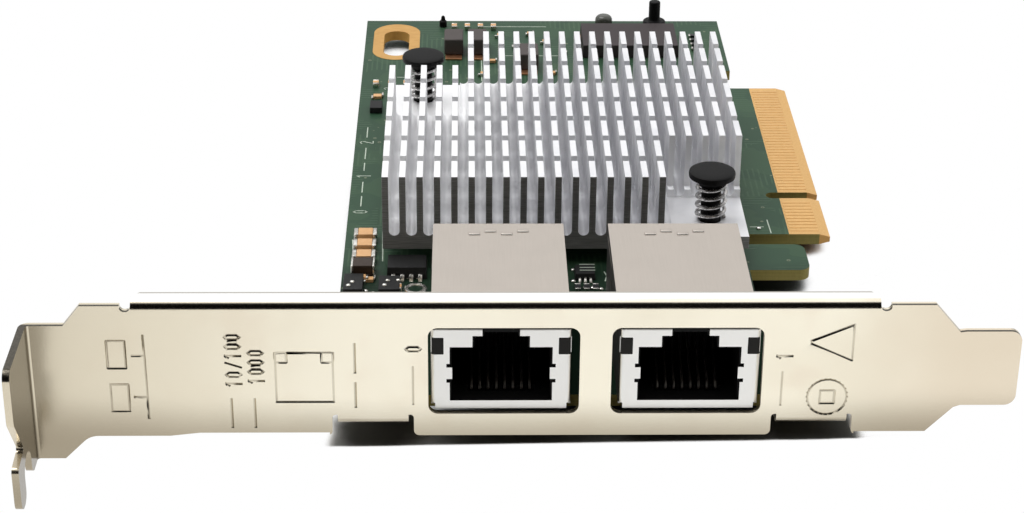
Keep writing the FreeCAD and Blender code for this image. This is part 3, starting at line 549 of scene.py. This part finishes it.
def stampCutter(strokes, wide, deep):         # a bar on its edge along each stroke leaves a V groove
    shape = bmesh.new()
    half = 0.5 ** 0.5
    for (x0, z0), (x1, z1) in strokes:
        made = bmesh.ops.create_cube(shape, size=1)["verts"]
        long = math.hypot(x1 - x0, z1 - z0)
        bmesh.ops.rotate(shape, verts=made, cent=(0, 0, 0), matrix=Matrix.Rotation(math.pi / 4, 3, "X"))
        bmesh.ops.scale(shape, verts=made, vec=((long + wide * 0.5) * mm, deep / half * mm,
                                                wide / 2 / half * mm))
        bmesh.ops.rotate(shape, verts=made, cent=(0, 0, 0),
                         matrix=Matrix.Rotation(-math.atan2(z1 - z0, x1 - x0), 3, "Y"))
        bmesh.ops.translate(shape, verts=made, vec=((x0 + x1) / 2 * mm, 0, (z0 + z1) / 2 * mm))
    bmesh.ops.recalc_face_normals(shape, faces=shape.faces)
    return shape


def plateTrims(cut):                          # the plate is narrower beyond the feet and beyond the flange
    low, high = [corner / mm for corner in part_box("bracket")]
    clear, back = cut["clear"], cut["plateBack"]
    trims = bmesh.new()
    for x0, x1, ramp in ((cut["rampFrom"], cut["leftFoot"], cut["ramp"]),
                         (cut["rightFoot"], high.x + clear, 0)):
        boxShape(trims, (x0, -clear, cut["trimFrom"]), (x1, back, cut["plateLow"] + cut["lowTrim"]))
        trims.verts.ensure_lookup_table()
        leading = [v for v in trims.verts[-8:]
                   if abs(v.co.x - x0 * mm) < 0.01 * mm and v.co.z > cut["plateLow"] * mm]
        bmesh.ops.translate(trims, verts=leading, vec=(ramp * mm, 0, 0))
    for x0, x1 in ((low.x + cut["tabClear"], cut["flangeLeft"]), (cut["flangeRight"], high.x + clear)):
        boxShape(trims, (x0, -clear, high.z - cut["highTrim"]), (x1, back, high.z + clear))
    return trims


def makeBracket(cut, marks):
    shape = carved(merged("bracket"), plateTrims(cut))
    joinFlat(shape)
    softenEdges(shape, cut["edge"], cut["edgeSteps"])
    shape = carved(shape, stampCutter(markStrokes(marks), marks["wide"], marks["deep"]))
    addPiece("bracket_finished", shape, "nickel", ["bracket"], cut["smooth"])


makeBracket(bracketShape, stampedMarks)
print("bracket done")


shieldShape = {"edge": 0.1, "edgeSteps": 3, "dashLong": 1.5, "dashWide": 0.7, "dashHigh": 0.16, "dashes": 4,
               "dashPitch": 2.1, "dashFromRear": 3.0, "dashShift": 0.8, "dashEdge": 0.12, "sunk": 0.02,
               "flapThick": 0.06, "flapFrom": 9.5, "flapTo": 1.2, "flapLow": 1.5, "flapHigh": 1.2,
               "rearInset": 1.2, "rearLow": 1.2, "rearSunk": 0.01, "rearThick": 0.07, "rearHigh": 1.0,
               "flapEdge": 0.03}
# a contact's bend is given from its front end and its floor, the comb's sizes from the contacts' box
contactShape = {"count": 8, "wire": 0.16, "sides": 8, "rowInPitches": 7.4, "heel": 0.7,
                "bend": [(0.25, 0.5), (0.5, 1.1), (2.0, 1.75)], "topEnd": 2.4,
                "combWide": 0.34, "combEdge": 0.04, "ribFrom": 0.4, "ribTo": 0.2, "ribSunk": 0.2,
                "ribHigh": 0.75, "wallThick": 1.6, "wallPast": 0.1, "wallLow": 0.6, "wallHigh": 1.6}
lampShape = {"inner": 6.9, "outer": 8.36, "proud": 0.05, "edge": 0.1}


def makeShield(number, cut):
    nodeName = "jack_shield_%d" % number
    low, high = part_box(nodeName)
    x0, x1 = low.x / mm, high.x / mm
    y1, z1 = high.y / mm, high.z / mm
    middle = (x0 + x1) / 2
    shield = merged(nodeName)
    softenEdges(shield, cut["edge"], cut["edgeSteps"])
    addPiece(nodeName + "_finished", shield, "tin", [nodeName])

    dashes = bmesh.new()                      # pressed ribs near the rear of the top
    for i in range(cut["dashes"]):
        x = middle + (i - (cut["dashes"] - 1) / 2) * cut["dashPitch"]
        y = y1 - cut["dashFromRear"] + (i % 2) * cut["dashShift"]
        boxShape(dashes, (x - cut["dashLong"] / 2, y - cut["dashWide"] / 2, z1 - cut["sunk"]),
                 (x + cut["dashLong"] / 2, y + cut["dashWide"] / 2, z1 + cut["dashHigh"]), cut["dashEdge"], 3)
    addPiece("jack_%d_ribs" % number, dashes, "tin")

    seams = bmesh.new()                       # folded flaps on both sides and the back
    for x, way in ((x0, -1), (x1, 1)):
        near, far = sorted((x, x + way * cut["flapThick"]))
        boxShape(seams, (near, y1 - cut["flapFrom"], cut["flapLow"]),
                 (far, y1 - cut["flapTo"], z1 - cut["flapHigh"]), cut["flapEdge"])
    boxShape(seams, (x0 + cut["rearInset"], y1 - cut["rearSunk"], cut["rearLow"]),
             (x1 - cut["rearInset"], y1 + cut["rearThick"], z1 - cut["rearHigh"]), cut["flapEdge"])
    addPiece("jack_%d_flaps" % number, seams, "tin")
    return middle


def bentWire(shape, x, route, radius, sides):   # a round wire through (y, z) points
    ring = bmesh.ops.create_circle(shape, segments=sides, radius=radius * mm)["verts"]
    bmesh.ops.rotate(shape, verts=ring, cent=(0, 0, 0), matrix=Matrix.Rotation(math.pi / 2, 3, "X"))
    bmesh.ops.translate(shape, verts=ring, vec=(x * mm, route[0][0] * mm, route[0][1] * mm))
    loop = list({e for v in ring for e in v.link_edges})
    for (ya, za), (yb, zb) in zip(route, route[1:]):
        made = bmesh.ops.extrude_edge_only(shape, edges=loop)["geom"]
        ring = [g for g in made if isinstance(g, bmesh.types.BMVert)]
        loop = [g for g in made if isinstance(g, bmesh.types.BMEdge)
                and all(v in ring for v in g.verts)]
        bmesh.ops.translate(shape, verts=ring, vec=(0, (yb - ya) * mm, (zb - za) * mm))


def makeContacts(number, middle, cut):
    nodeName = "jack_contacts_%d" % number
    low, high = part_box(nodeName)
    front, back = low.y / mm, high.y / mm
    floor, top = low.z / mm, high.z / mm
    pitch = (high.x - low.x) / mm / cut["rowInPitches"]
    radius = cut["wire"]
    route = [(back, floor + radius), (front + cut["heel"], floor + radius)]
    route += [(front + y, floor + z) for y, z in cut["bend"]]
    route += [(back - cut["topEnd"], top - radius)]
    wires = bmesh.new()                       # round contacts bent up to the back of the mouth
    for i in range(cut["count"]):
        bentWire(wires, middle + (i - (cut["count"] - 1) / 2) * pitch, route, radius, cut["sides"])
    closeUp(wires)
    addPiece(nodeName + "_finished", wires, "shadedContactGold", [nodeName])

    comb = bmesh.new()                        # ribs of the plastic beside the contacts, and their rear wall
    half = cut["combWide"] / 2
    for i in range(cut["count"] + 1):
        x = middle + (i - cut["count"] / 2) * pitch
        boxShape(comb, (x - half, front + cut["ribFrom"], floor - cut["ribSunk"]),
                 (x + half, back - cut["ribTo"], floor + cut["ribHigh"]), cut["combEdge"])
        boxShape(comb, (x - half, back - cut["wallThick"], floor + cut["wallLow"]),
                 (x + half, back + cut["wallPast"], top + cut["wallHigh"]), cut["combEdge"])
    addPiece("jack_%d_comb" % number, comb, "jackPlastic")


def makeLamps(number, middle, cut):
    nodeName = "jack_lamps_%d" % number
    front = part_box("jack_shield_%d" % number)[0].y / mm - cut["proud"]
    low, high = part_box(nodeName)
    lamps = bmesh.new()
    for side in (-1, 1):
        inner, outer = sorted((middle + side * cut["inner"], middle + side * cut["outer"]))
        boxShape(lamps, (inner, front, low.z / mm), (outer, high.y / mm, high.z / mm), cut["edge"], 2)
    addPiece(nodeName + "_finished", lamps, "lampWindow", [nodeName])


for number in (0, 1):
    middle = makeShield(number, shieldShape)
    makeContacts(number, middle, contactShape)
    refine("jack_housing_%d" % number, "jackPlastic", 0.05, 2)
    makeLamps(number, middle, lampShape)
    dressNode("jack_magnetics_%d" % number, "jackPlastic")
    dressNode("jack_pins_%d" % number, "solder")
print("jacks done")


refine("heatsink", "aluminium", 0.06)

# the head's rim as (in from its edge, below its top), and drops from the top or the board's underside
pinShape = {"flatShare": 0.55, "rim": [(0.35, 0.06), (0.08, 0.22), (0, 0.5), (0.05, 0.95), (0.5, 1.15)],
            "collar": 2.1, "collarDrop": 1.3, "shoulder": 1.75, "underside": 0.9, "shank": 1.35,
            "shankDrop": 2.6, "barb": 1.95, "barbFrom": 0.05, "barbTo": 0.4, "tip": 0.8, "tipShare": 0.6,
            "tipRise": 0.12, "slit": 0.6, "slitRise": 1.0}
springShape = {"wire": 0.27, "inset": 0.25, "turns": 4.25, "stepsPerTurn": 28, "sides": 8}


def makePushPin(place, cut):
    nodeName = "push_pin_" + place
    low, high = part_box(nodeName)
    x, y = (low.x + high.x) / 2 / mm, (low.y + high.y) / 2 / mm
    top, bottom = high.z / mm, low.z / mm
    head = (high.x - low.x) / 2 / mm
    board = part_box("circuit_board")[0].z / mm
    shape = bmesh.new()
    collar = top - cut["collarDrop"]
    profile = [(0, top), (head * cut["flatShare"], top)]
    profile += [(head - inset, top - drop) for inset, drop in cut["rim"]]
    profile += [(cut["collar"], collar), (cut["shoulder"], collar - cut["underside"]),
                (cut["shank"], top - cut["shankDrop"]), (cut["shank"], board),
                (cut["barb"], board - cut["barbFrom"]), (cut["barb"], board - cut["barbTo"]),
                (cut["tip"], bottom + cut["tipRise"]), (cut["tip"] * cut["tipShare"], bottom), (0, bottom)]
    turned(shape, profile, x, y)
    closeUp(shape)
    slit = bmesh.new()
    half = cut["slit"] / 2
    boxShape(slit, (x - half, y - 4, bottom - 1), (x + half, y + 4, board + cut["slitRise"]))
    addPiece(nodeName + "_finished", carved(shape, slit), "nylon", [nodeName])


def makeSpring(place, cut):
    nodeName = "pin_spring_" + place
    low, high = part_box(nodeName)
    x, y = (low.x + high.x) / 2 / mm, (low.y + high.y) / 2 / mm
    radius = (high.x - low.x) / 2 / mm - cut["inset"]
    wire = cut["wire"]
    shape = bmesh.new()
    ring = bmesh.ops.create_circle(shape, cap_ends=False, segments=cut["sides"], radius=wire * mm)["verts"]
    bmesh.ops.rotate(shape, verts=ring, cent=(0, 0, 0), matrix=Matrix.Rotation(math.pi / 2, 3, "X"))
    bmesh.ops.translate(shape, verts=ring, vec=((x + radius) * mm, y * mm, low.z + wire * mm))
    steps = int(cut["turns"] * cut["stepsPerTurn"])
    rise = (high.z - low.z - 2 * wire * mm) / steps
    edges = list({e for v in ring for e in v.link_edges})
    end = bmesh.ops.spin(shape, geom=ring + edges, cent=(x * mm, y * mm, 0), axis=(0, 0, 1),
                         dvec=(0, 0, rise), angle=math.tau * cut["turns"], steps=steps, use_merge=False)
    tail = [g for g in end["geom_last"] if isinstance(g, bmesh.types.BMEdge)]
    bmesh.ops.edgeloop_fill(shape, edges=tail)
    bmesh.ops.edgeloop_fill(shape, edges=edges)
    bmesh.ops.recalc_face_normals(shape, faces=shape.faces)
    addPiece(nodeName + "_finished", shape, "spring", [nodeName])


for place in ("front", "rear"):
    makePushPin(place, pinShape)
    makeSpring(place, springShape)
print("heatsink and pins done")


# the pan head as (in from its edge, below its top), and the end of the shank as (radius, above the tip)
screwShape = {"head": 2.75, "pan": [(1.45, 0.06), (0.65, 0.3), (0.15, 0.75), (0, 1.15)], "brim": 0.12,
              "shank": 1.5, "recess": 1.5, "slot": 0.6, "deep": 1.0, "thread": 0.18, "pitch": 0.5,
              "threadFrom": -0.1, "threadEnd": 0.5, "end": [(1.4, 0.4), (1.1, 0)], "steps": 32}


def makeScrews(cut):
    low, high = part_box("bracket_screws")
    radius, shank = cut["head"], cut["shank"]
    y = (low.y + high.y) / 2 / mm
    head = high.z / mm
    tip = low.z / mm
    shape = bmesh.new()
    crosses = bmesh.new()
    for x in (low.x / mm + radius, high.x / mm - radius):
        profile = [(0, head)] + [(radius - inset, head - drop) for inset, drop in cut["pan"]]
        profile += [(radius, cut["brim"]), (radius - cut["brim"], 0), (shank, 0)]
        z = cut["threadFrom"]
        while z > tip + cut["threadEnd"]:
            profile += [(shank, z), (shank - cut["thread"], z - cut["pitch"] / 2)]
            z -= cut["pitch"]
        profile += [(r, tip + rise) for r, rise in cut["end"]] + [(0, tip)]
        turned(shape, profile, x, y, 0, cut["steps"])
        for across, along in ((cut["recess"], cut["slot"] / 2), (cut["slot"] / 2, cut["recess"])):
            boxShape(crosses, (x - across, y - along, head - cut["deep"]), (x + across, y + along, head + 1))
    closeUp(shape)
    addPiece("bracket_screws_finished", carved(shape, crosses), "zinc", ["bracket_screws"])


makeScrews(screwShape)


for nodeName, finish, slot, width, segments in (
        ("output_capacitors", "ceramic", "capacitor_ceramic", 0.08, 2),
        ("output_capacitors_ends", "solder", "tin", 0.12, 2),
        ("tantalum_capacitor", "tantalum", "tantalum_resin", 0.12, 2),
        ("tantalum_capacitor_ends", "solder", "tin", 0.08, 2),
        ("small_capacitors", "ceramic", "capacitor_ceramic", 0.05, 1),
        ("small_capacitors_ends", "solder", "tin", 0.08, 2),
        ("chip_resistors", "glaze", "resistor_glaze", 0.03, 1),
        ("chip_resistors_ends", "solder", "tin", 0.06, 2),
        ("flash_memory", "resin", "package_resin", 0.1, 2),
        ("flash_memory_leads", "solder", "tin", 0.03, 1),
        ("power_module", "moduleResin", "package_resin", 0.15, 2),
        ("power_module_leads", "solder", "tin", 0.03, 1),
        ("port_driver", "resin", "package_resin", 0.08, 2),
        ("port_driver_leads", "solder", "tin", 0.03, 1),
        ("power_inductors", "ferrite", "ferrite", 0.25, 3),
        ("power_inductor_feet", "copper", "copper", 0.05, 2),
        ("crystal_can", "zinc", "screw_steel", 0.3, 3),
        ("controller_substrate", "substrate", "package_laminate", 0.05, 1),
        ("controller_lid", "lid", "lid_metal", 0.2, 2),
        ("board_post", "nylon", "black_nylon", 0.3, 3),
        ("status_lamp", "lampResin", "lamp_resin", 0.9, 6)):
    refine(nodeName, finish, width, segments)

for nodeName, finish in (("circuit_board", "board"), ("edge_fingers_top", "gold"),
                         ("edge_fingers_bottom", "gold"), ("slot_pad_ring", "padGold"),
                         ("thermal_pad", "pad")):
    dressNode(nodeName, finish)
print("small parts done")


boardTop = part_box("circuit_board")[1].z / mm
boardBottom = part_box("circuit_board")[0].z / mm

# moulded packages as two corners and a height, and two-ended chips as centre, length, width and turn
packageShape = {
    "places": [(-31.9, 29.1, -29.3, 33.7, 1.0), (-27.2, 29.1, -24.4, 33.1, 1.0),
               (-30.5, 89.4, -28.6, 92.4, 1.0)],
    "gap": 0.06, "edge": 0.1,
}
chipShape = {
    "top": [(-28.5, 33.3, 1.6, 0.9, 0), (-29.5, 95.6, 1.9, 1.1, 0), (-12.4, 118.0, 1.5, 0.8, 0),
            (-9.9, 121.6, 1.5, 0.8, 90), (-7.2, 116.9, 1.5, 0.8, 0), (-4.8, 122.4, 1.5, 0.8, 0),
            (-2.4, 118.8, 1.5, 0.8, 90), (-11.2, 110.3, 1.5, 0.8, 0), (-6.0, 108.9, 1.5, 0.8, 90),
            (0.4, 113.7, 1.5, 0.8, 0), (-12.8, 104.9, 1.5, 0.8, 90), (-1.6, 105.2, 1.5, 0.8, 0),
            (3.4, 120.9, 1.5, 0.8, 0)],
    "below": ([(x, 52.0, 1.5, 0.8, 0) for x in (-18.0, -14.0, -10.0)]
              + [(x, y, 1.5, 0.8, 90) for y in (60.0, 68.0) for x in (-6.0, -2.0, 2.0, 6.0)]
              + [(12.0, 78.0, 1.5, 0.8, 0), (-16.0, 84.0, 1.5, 0.8, 0), (-12.0, 96.0, 1.5, 0.8, 90),
                 (2.0, 98.0, 1.5, 0.8, 0)]),
    "gap": 0.02, "tall": 0.5, "end": 0.3, "proud": 0.03, "bodyEdge": 0.04, "endEdge": 0.08,
}
solderShape = {
    "dots": [(-24.6, 34.1), (-23.4, 34.1), (-22.1, 34.1), (-24.6, 31.7), (-1.1, 36.4), (-1.2, 33.1),
             (0.3, 31.1), (1.3, 31.1), (2.4, 30.8), (-31.2, 30.2), (-30.7, 31.2), (-26.4, 30.3),
             (-26.0, 31.6), (-28.9, 30.3), (-27.9, 29.7), (25.5, 49.0)],
    "dotWide": 0.36, "dotFlat": 0.6, "onBoard": 0.1, "ring": (-22.3, 31.1, 0.95, 1.55),
    "ringEdge": 0.01, "ringIn": (0.06, 0.14), "ringTop": 0.2, "ringOut": (0.08, 0.13), "ringSteps": 28,
    "filletTop": 0.01, "fillet": [(0.5, 0.01), (0.42, 0.12), (0.16, 0.4)], "filletEnd": (0.9, 0.85),
    "filletTip": 0.95, "filletSteps": 16,
}
# the outline in shares of the post's width and height
postShape = {"at": (-19.4, 126.4), "wide": 0.62, "tall": 1.9, "steps": 20,
             "outline": [(0, 0), (1, 0), (1, 0.5), (0.6, 0.62), (0.5, 0.9), (0.25, 1), (0, 1)]}
legendShape = {
    "strokes": [((-31.3, 45.6), (-30.8, 37.2)), ((-27.2, 48.1), (-26.95, 39.2)), ((27.0, 51.8), (27.1, 47.7)),
                ((3.1, 35.9), (3.4, 34.7)), ((3.4, 34.7), (3.1, 33.3)), ((-0.2, 37.3), (1.7, 37.3)),
                ((-13.0, 126.2), (-2.0, 126.2)), ((-13.0, 102.6), (-13.0, 116.0)),
                ((-9.0, 113.2), (0.0, 113.2)), ((4.6, 124.0), (4.6, 117.0)), ((24.4, 49.6), (26.2, 49.6)),
                ((-26.6, 104.0), (-24.0, 104.0))],
    "dashes": [((-30.6, y0), (-30.6, y1)) for y0, y1 in
               ((56.4, 59.6), (61.0, 64.4), (68.4, 71.0), (72.6, 76.4), (80.4, 84.0))],
    "numbers": [("0", (-29.6, 54.0), 1.0), ("1", (-29.6, 66.0), 1.0), ("2", (-29.6, 78.0), 1.0),
                ("2", (-27.0, 99.0), 0.8)],
    "onDriver": [((-0.2, y), (1.7, y)) for y in (36.2, 35.3, 34.5)],
    "wide": 0.16, "thick": 0.03,
}


def makePackages(cut):
    shape = bmesh.new()
    for x0, y0, x1, y1, tall in cut["places"]:
        boxShape(shape, (x0, y0, boardTop + cut["gap"]), (x1, y1, boardTop + tall), cut["edge"], 2)
    addPiece("extra_packages", shape, "resin")


def makeChips(cut):                           # plain two-ended chips on both faces
    bodies, ends = bmesh.new(), bmesh.new()
    for place, base, way in (("top", boardTop, 1), ("below", boardBottom, -1)):
        for x, y, long, wide, turn in cut[place]:
            half = (long / 2, wide / 2) if turn == 0 else (wide / 2, long / 2)
            cap = (cut["end"], 0) if turn == 0 else (0, cut["end"])
            z0, z1 = sorted((base + way * cut["gap"], base + way * cut["tall"]))
            boxShape(bodies, (x - half[0] + cap[0], y - half[1] + cap[1], z0),
                     (x + half[0] - cap[0], y + half[1] - cap[1], z1), cut["bodyEdge"])
            for side in (-1, 1):
                cx, cy = x + side * (half[0] - cap[0] / 2), y + side * (half[1] - cap[1] / 2)
                reach = (cap[0] / 2 or half[0] + cut["proud"], cap[1] / 2 or half[1] + cut["proud"])
                boxShape(ends, (cx - reach[0], cy - reach[1], z0 - cut["gap"]),
                         (cx + reach[0], cy + reach[1], z1 + cut["proud"]), cut["endEdge"], 2)
    addPiece("extra_chips", bodies, "ceramic")
    addPiece("extra_chip_ends", ends, "solder")


def makeSolder(cut, packages):
    shape = bmesh.new()
    for x, y in cut["dots"]:                  # a dot over a package lies on its top
        tops = [tall for x0, y0, x1, y1, tall in packages if x0 < x < x1 and y0 < y < y1]
        lift = tops[0] if tops else cut["onBoard"]
        ball = bmesh.ops.create_icosphere(shape, subdivisions=2, radius=cut["dotWide"] * mm)["verts"]
        bmesh.ops.scale(shape, vec=(1, 1, cut["dotFlat"]), verts=ball)
        bmesh.ops.translate(shape, vec=(x * mm, y * mm, (boardTop + lift) * mm), verts=ball)
    x, y, hole, rim = cut["ring"]
    edge, inner, outer = cut["ringEdge"], cut["ringIn"], cut["ringOut"]
    profile = [(hole, edge), (hole + inner[0], inner[1]), ((hole + rim) / 2, cut["ringTop"]),
               (rim - outer[0], outer[1]), (rim, edge), (hole, edge)]
    turned(shape, profile, x, y, boardTop, cut["ringSteps"])
    for number in (0, 1):                     # a fillet of solder round each tail below the board
        for low, high in shells("jack_pins_%d" % number):
            x, y = (low.x + high.x) / 2 / mm, (low.y + high.y) / 2 / mm
            wide = max(high.x - low.x, high.y - low.y) / 2 / mm
            share, drop = cut["filletEnd"]
            profile = [(0, -cut["filletTop"])] + [(wide + grown, -down) for grown, down in cut["fillet"]]
            profile += [(wide * share, -drop), (0, -cut["filletTip"])]
            turned(shape, profile, x, y, boardBottom, cut["filletSteps"])
    closeUp(shape)
    addPiece("board_solder", shape, "solder")


def makePost(cut):
    wide, tall = cut["wide"], cut["tall"]
    profile = [(wide * across, tall * up) for across, up in cut["outline"]]
    shape = bmesh.new()
    turned(shape, profile, *cut["at"], boardTop, cut["steps"])
    closeUp(shape)
    addPiece("test_post", shape, "nylon")


def makeLegend(cut):                          # printed strokes on the board and on one package
    strokes = cut["strokes"] + cut["dashes"]
    for word, start, size in cut["numbers"]:
        strokes += numeralStrokes(word, start, size)
    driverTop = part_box("port_driver")[1].z / mm
    levels = [(ends, boardTop) for ends in strokes] + [(ends, driverTop) for ends in cut["onDriver"]]
    ink = bmesh.new()
    for ((x0, y0), (x1, y1)), level in levels:
        made = bmesh.ops.create_cube(ink, size=1)["verts"]
        long = math.hypot(x1 - x0, y1 - y0) + cut["wide"]
        bmesh.ops.scale(ink, vec=(long * mm, cut["wide"] * mm, cut["thick"] * mm), verts=made)
        slant = math.atan2(y1 - y0, x1 - x0)
        bmesh.ops.rotate(ink, verts=made, cent=(0, 0, 0), matrix=Matrix.Rotation(slant, 3, "Z"))
        bmesh.ops.translate(ink, verts=made, vec=((x0 + x1) / 2 * mm, (y0 + y1) / 2 * mm, level * mm))
    addPiece("board_legend", ink, "silk")


makePackages(packageShape)
makeChips(chipShape)
makeSolder(solderShape, packageShape["places"])
makePost(postShape)
makeLegend(legendShape)
print("board details done")


# the card rests on its tab's horn, the front push pin's tip and the board's rear corner; half is in metres
floorShape = {"slopeX": 0.02737, "slopeY": 0.02407, "at": (18.27, 43.61, -3.88), "half": 5}
floorLook = {"pale": tint(253, 253, 253), "cloud": tint(251, 251, 251), "shadow": tint(74, 74, 72),
             "reach": 4.6, "edge": 0.75, "edgeSlope": 0.017, "edgeSoft": 0.5, "aheadLift": 0.45,
             "stripBack": (5, 12), "stripLeft": (-33.5, -31.5), "stripRight": (31, 34), "stripDrop": 0.3,
             "rear": (60, 100), "left": (-38, -32), "right": (26, 38), "farLift": 0.4,
             "clear": (0.72, 0.84), "shade": (0.45, 0.86)}


def makeFloor(cut, look):
    shape = bmesh.new()
    bmesh.ops.create_grid(shape, x_segments=1, y_segments=1, size=cut["half"])
    x, y, z = cut["at"]
    for corner in shape.verts:
        corner.co.z = z * mm + cut["slopeX"] * (corner.co.x - x * mm) + cut["slopeY"] * (corner.co.y - y * mm)
    floor = inScene("floor", asMesh("floor", shape))
    f = newFinish("floor_pale")
    cloud = f.noise(f.place(), 0.004, 2)
    white = f.node("ShaderNodeEmission", {}, {"Color": (1, 1, 1, 1), "Strength": 1.0})
    rays = [f.node("ShaderNodeLightPath", out="Is %s Ray" % kind)
            for kind in ("Camera", "Glossy", "Transmission")]
    uncovered = f.node("ShaderNodeAmbientOcclusion", {"samples": 12},
                       {"Distance": look["reach"] * mm}, out="AO")
    x, y = f.split(f.place())[:2]
    soft, far = look["edgeSoft"], look["farLift"]
    # painted shadow: the floor in front of the bracket is painted lighter, and the strip under it darker
    ahead = (look["edge"] - x * look["edgeSlope"] - y).fade(-soft, soft)
    strip = (1 - ahead) & (1 - y.fade(*look["stripBack"]))
    strip = strip & x.fade(*look["stripLeft"]) & (1 - x.fade(*look["stripRight"]))
    lit = uncovered + ahead * look["aheadLift"] - strip * look["stripDrop"]
    lit = lit + y.fade(*look["rear"]) * far + (1 - x.fade(*look["left"])) * far
    lit = lit + x.fade(*look["right"]) * (1 - strip) * far
    # only the painted shadow close under the card stays
    clear = (rays[0] | rays[1] | rays[2]) * lit.fade(*look["clear"])
    pale = f.mix(cloud, look["pale"], look["cloud"])
    plain = f.node("ShaderNodeBsdfDiffuse", {}, {
        "Color": f.mix((1 - lit.fade(*look["shade"])) & rays[0], pale, look["shadow"])})
    surface = f.node("ShaderNodeMixShader", {}, {0: clear, 1: plain, 2: white})
    f.node("ShaderNodeOutputMaterial", {}, {"Surface": surface})
    floor.data.materials.append(f.owner)


lightLook = {"horizon": tint(120, 122, 124), "sky": tint(255, 255, 255), "viewer": tint(28, 27, 28),
             "rise": (0.02, 0.42), "viewerFrom": (0.25, 0.5), "viewerTop": (0.8, 0.92),
             "strength": 1.05, "sun": 1.1, "sunWide": 35, "sunFrom": (-0.35, 0.25, 1.0)}


def makeLight(look):
    w = Finish(bpy.data.worlds.new("studio"))
    bpy.context.scene.world = w.owner
    way = w.split(w.node("ShaderNodeTexCoord", out="Generated"))
    sky = w.mix(way[2].fade(*look["rise"]), look["horizon"], look["sky"])
    # the side that the viewer stands on is dark
    front = (0 - way[1]).fade(*look["viewerFrom"]) * (1 - way[2].fade(*look["viewerTop"]))
    room = w.mix(front, sky, look["viewer"])
    seen = w.mix(w.node("ShaderNodeLightPath", out="Is Camera Ray"), room, (1, 1, 1, 1))
    glow = w.node("ShaderNodeBackground", {}, {"Color": seen, "Strength": look["strength"]})
    w.node("ShaderNodeOutputWorld", {}, {"Surface": glow})

    light = bpy.data.lights.new("sun", "SUN")
    light.energy = look["sun"]
    light.angle = math.radians(look["sunWide"])
    sun = inScene("sun", light)
    sun.rotation_euler = Vector(look["sunFrom"]).to_track_quat("Z", "Y").to_euler()


cameraShot = {"place": (-15.66, -244.04, 145.26), "turn": 1.282, "down": 27.037, "roll": 0.528,
              "lens": 82.07, "sensor": 36, "nearest": 0.01}


def makeCamera(shot):
    lens = bpy.data.cameras.new("camera")
    lens.lens = shot["lens"]
    lens.sensor_width = shot["sensor"]
    lens.clip_start = shot["nearest"]
    camera = inScene("camera", lens)
    camera.matrix_world = (Matrix.Translation(Vector(shot["place"]) * mm)
                           @ Matrix.Rotation(math.radians(-shot["turn"]), 4, "Z")
                           @ Matrix.Rotation(math.radians(90 - shot["down"]), 4, "X")
                           @ Matrix.Rotation(math.radians(shot["roll"]), 4, "Z"))
    bpy.context.scene.camera = camera


makeFloor(floorShape, floorLook)
makeLight(lightLook)
makeCamera(cameraShot)
bpy.context.scene.view_settings.view_transform = "Standard"
print("studio done")
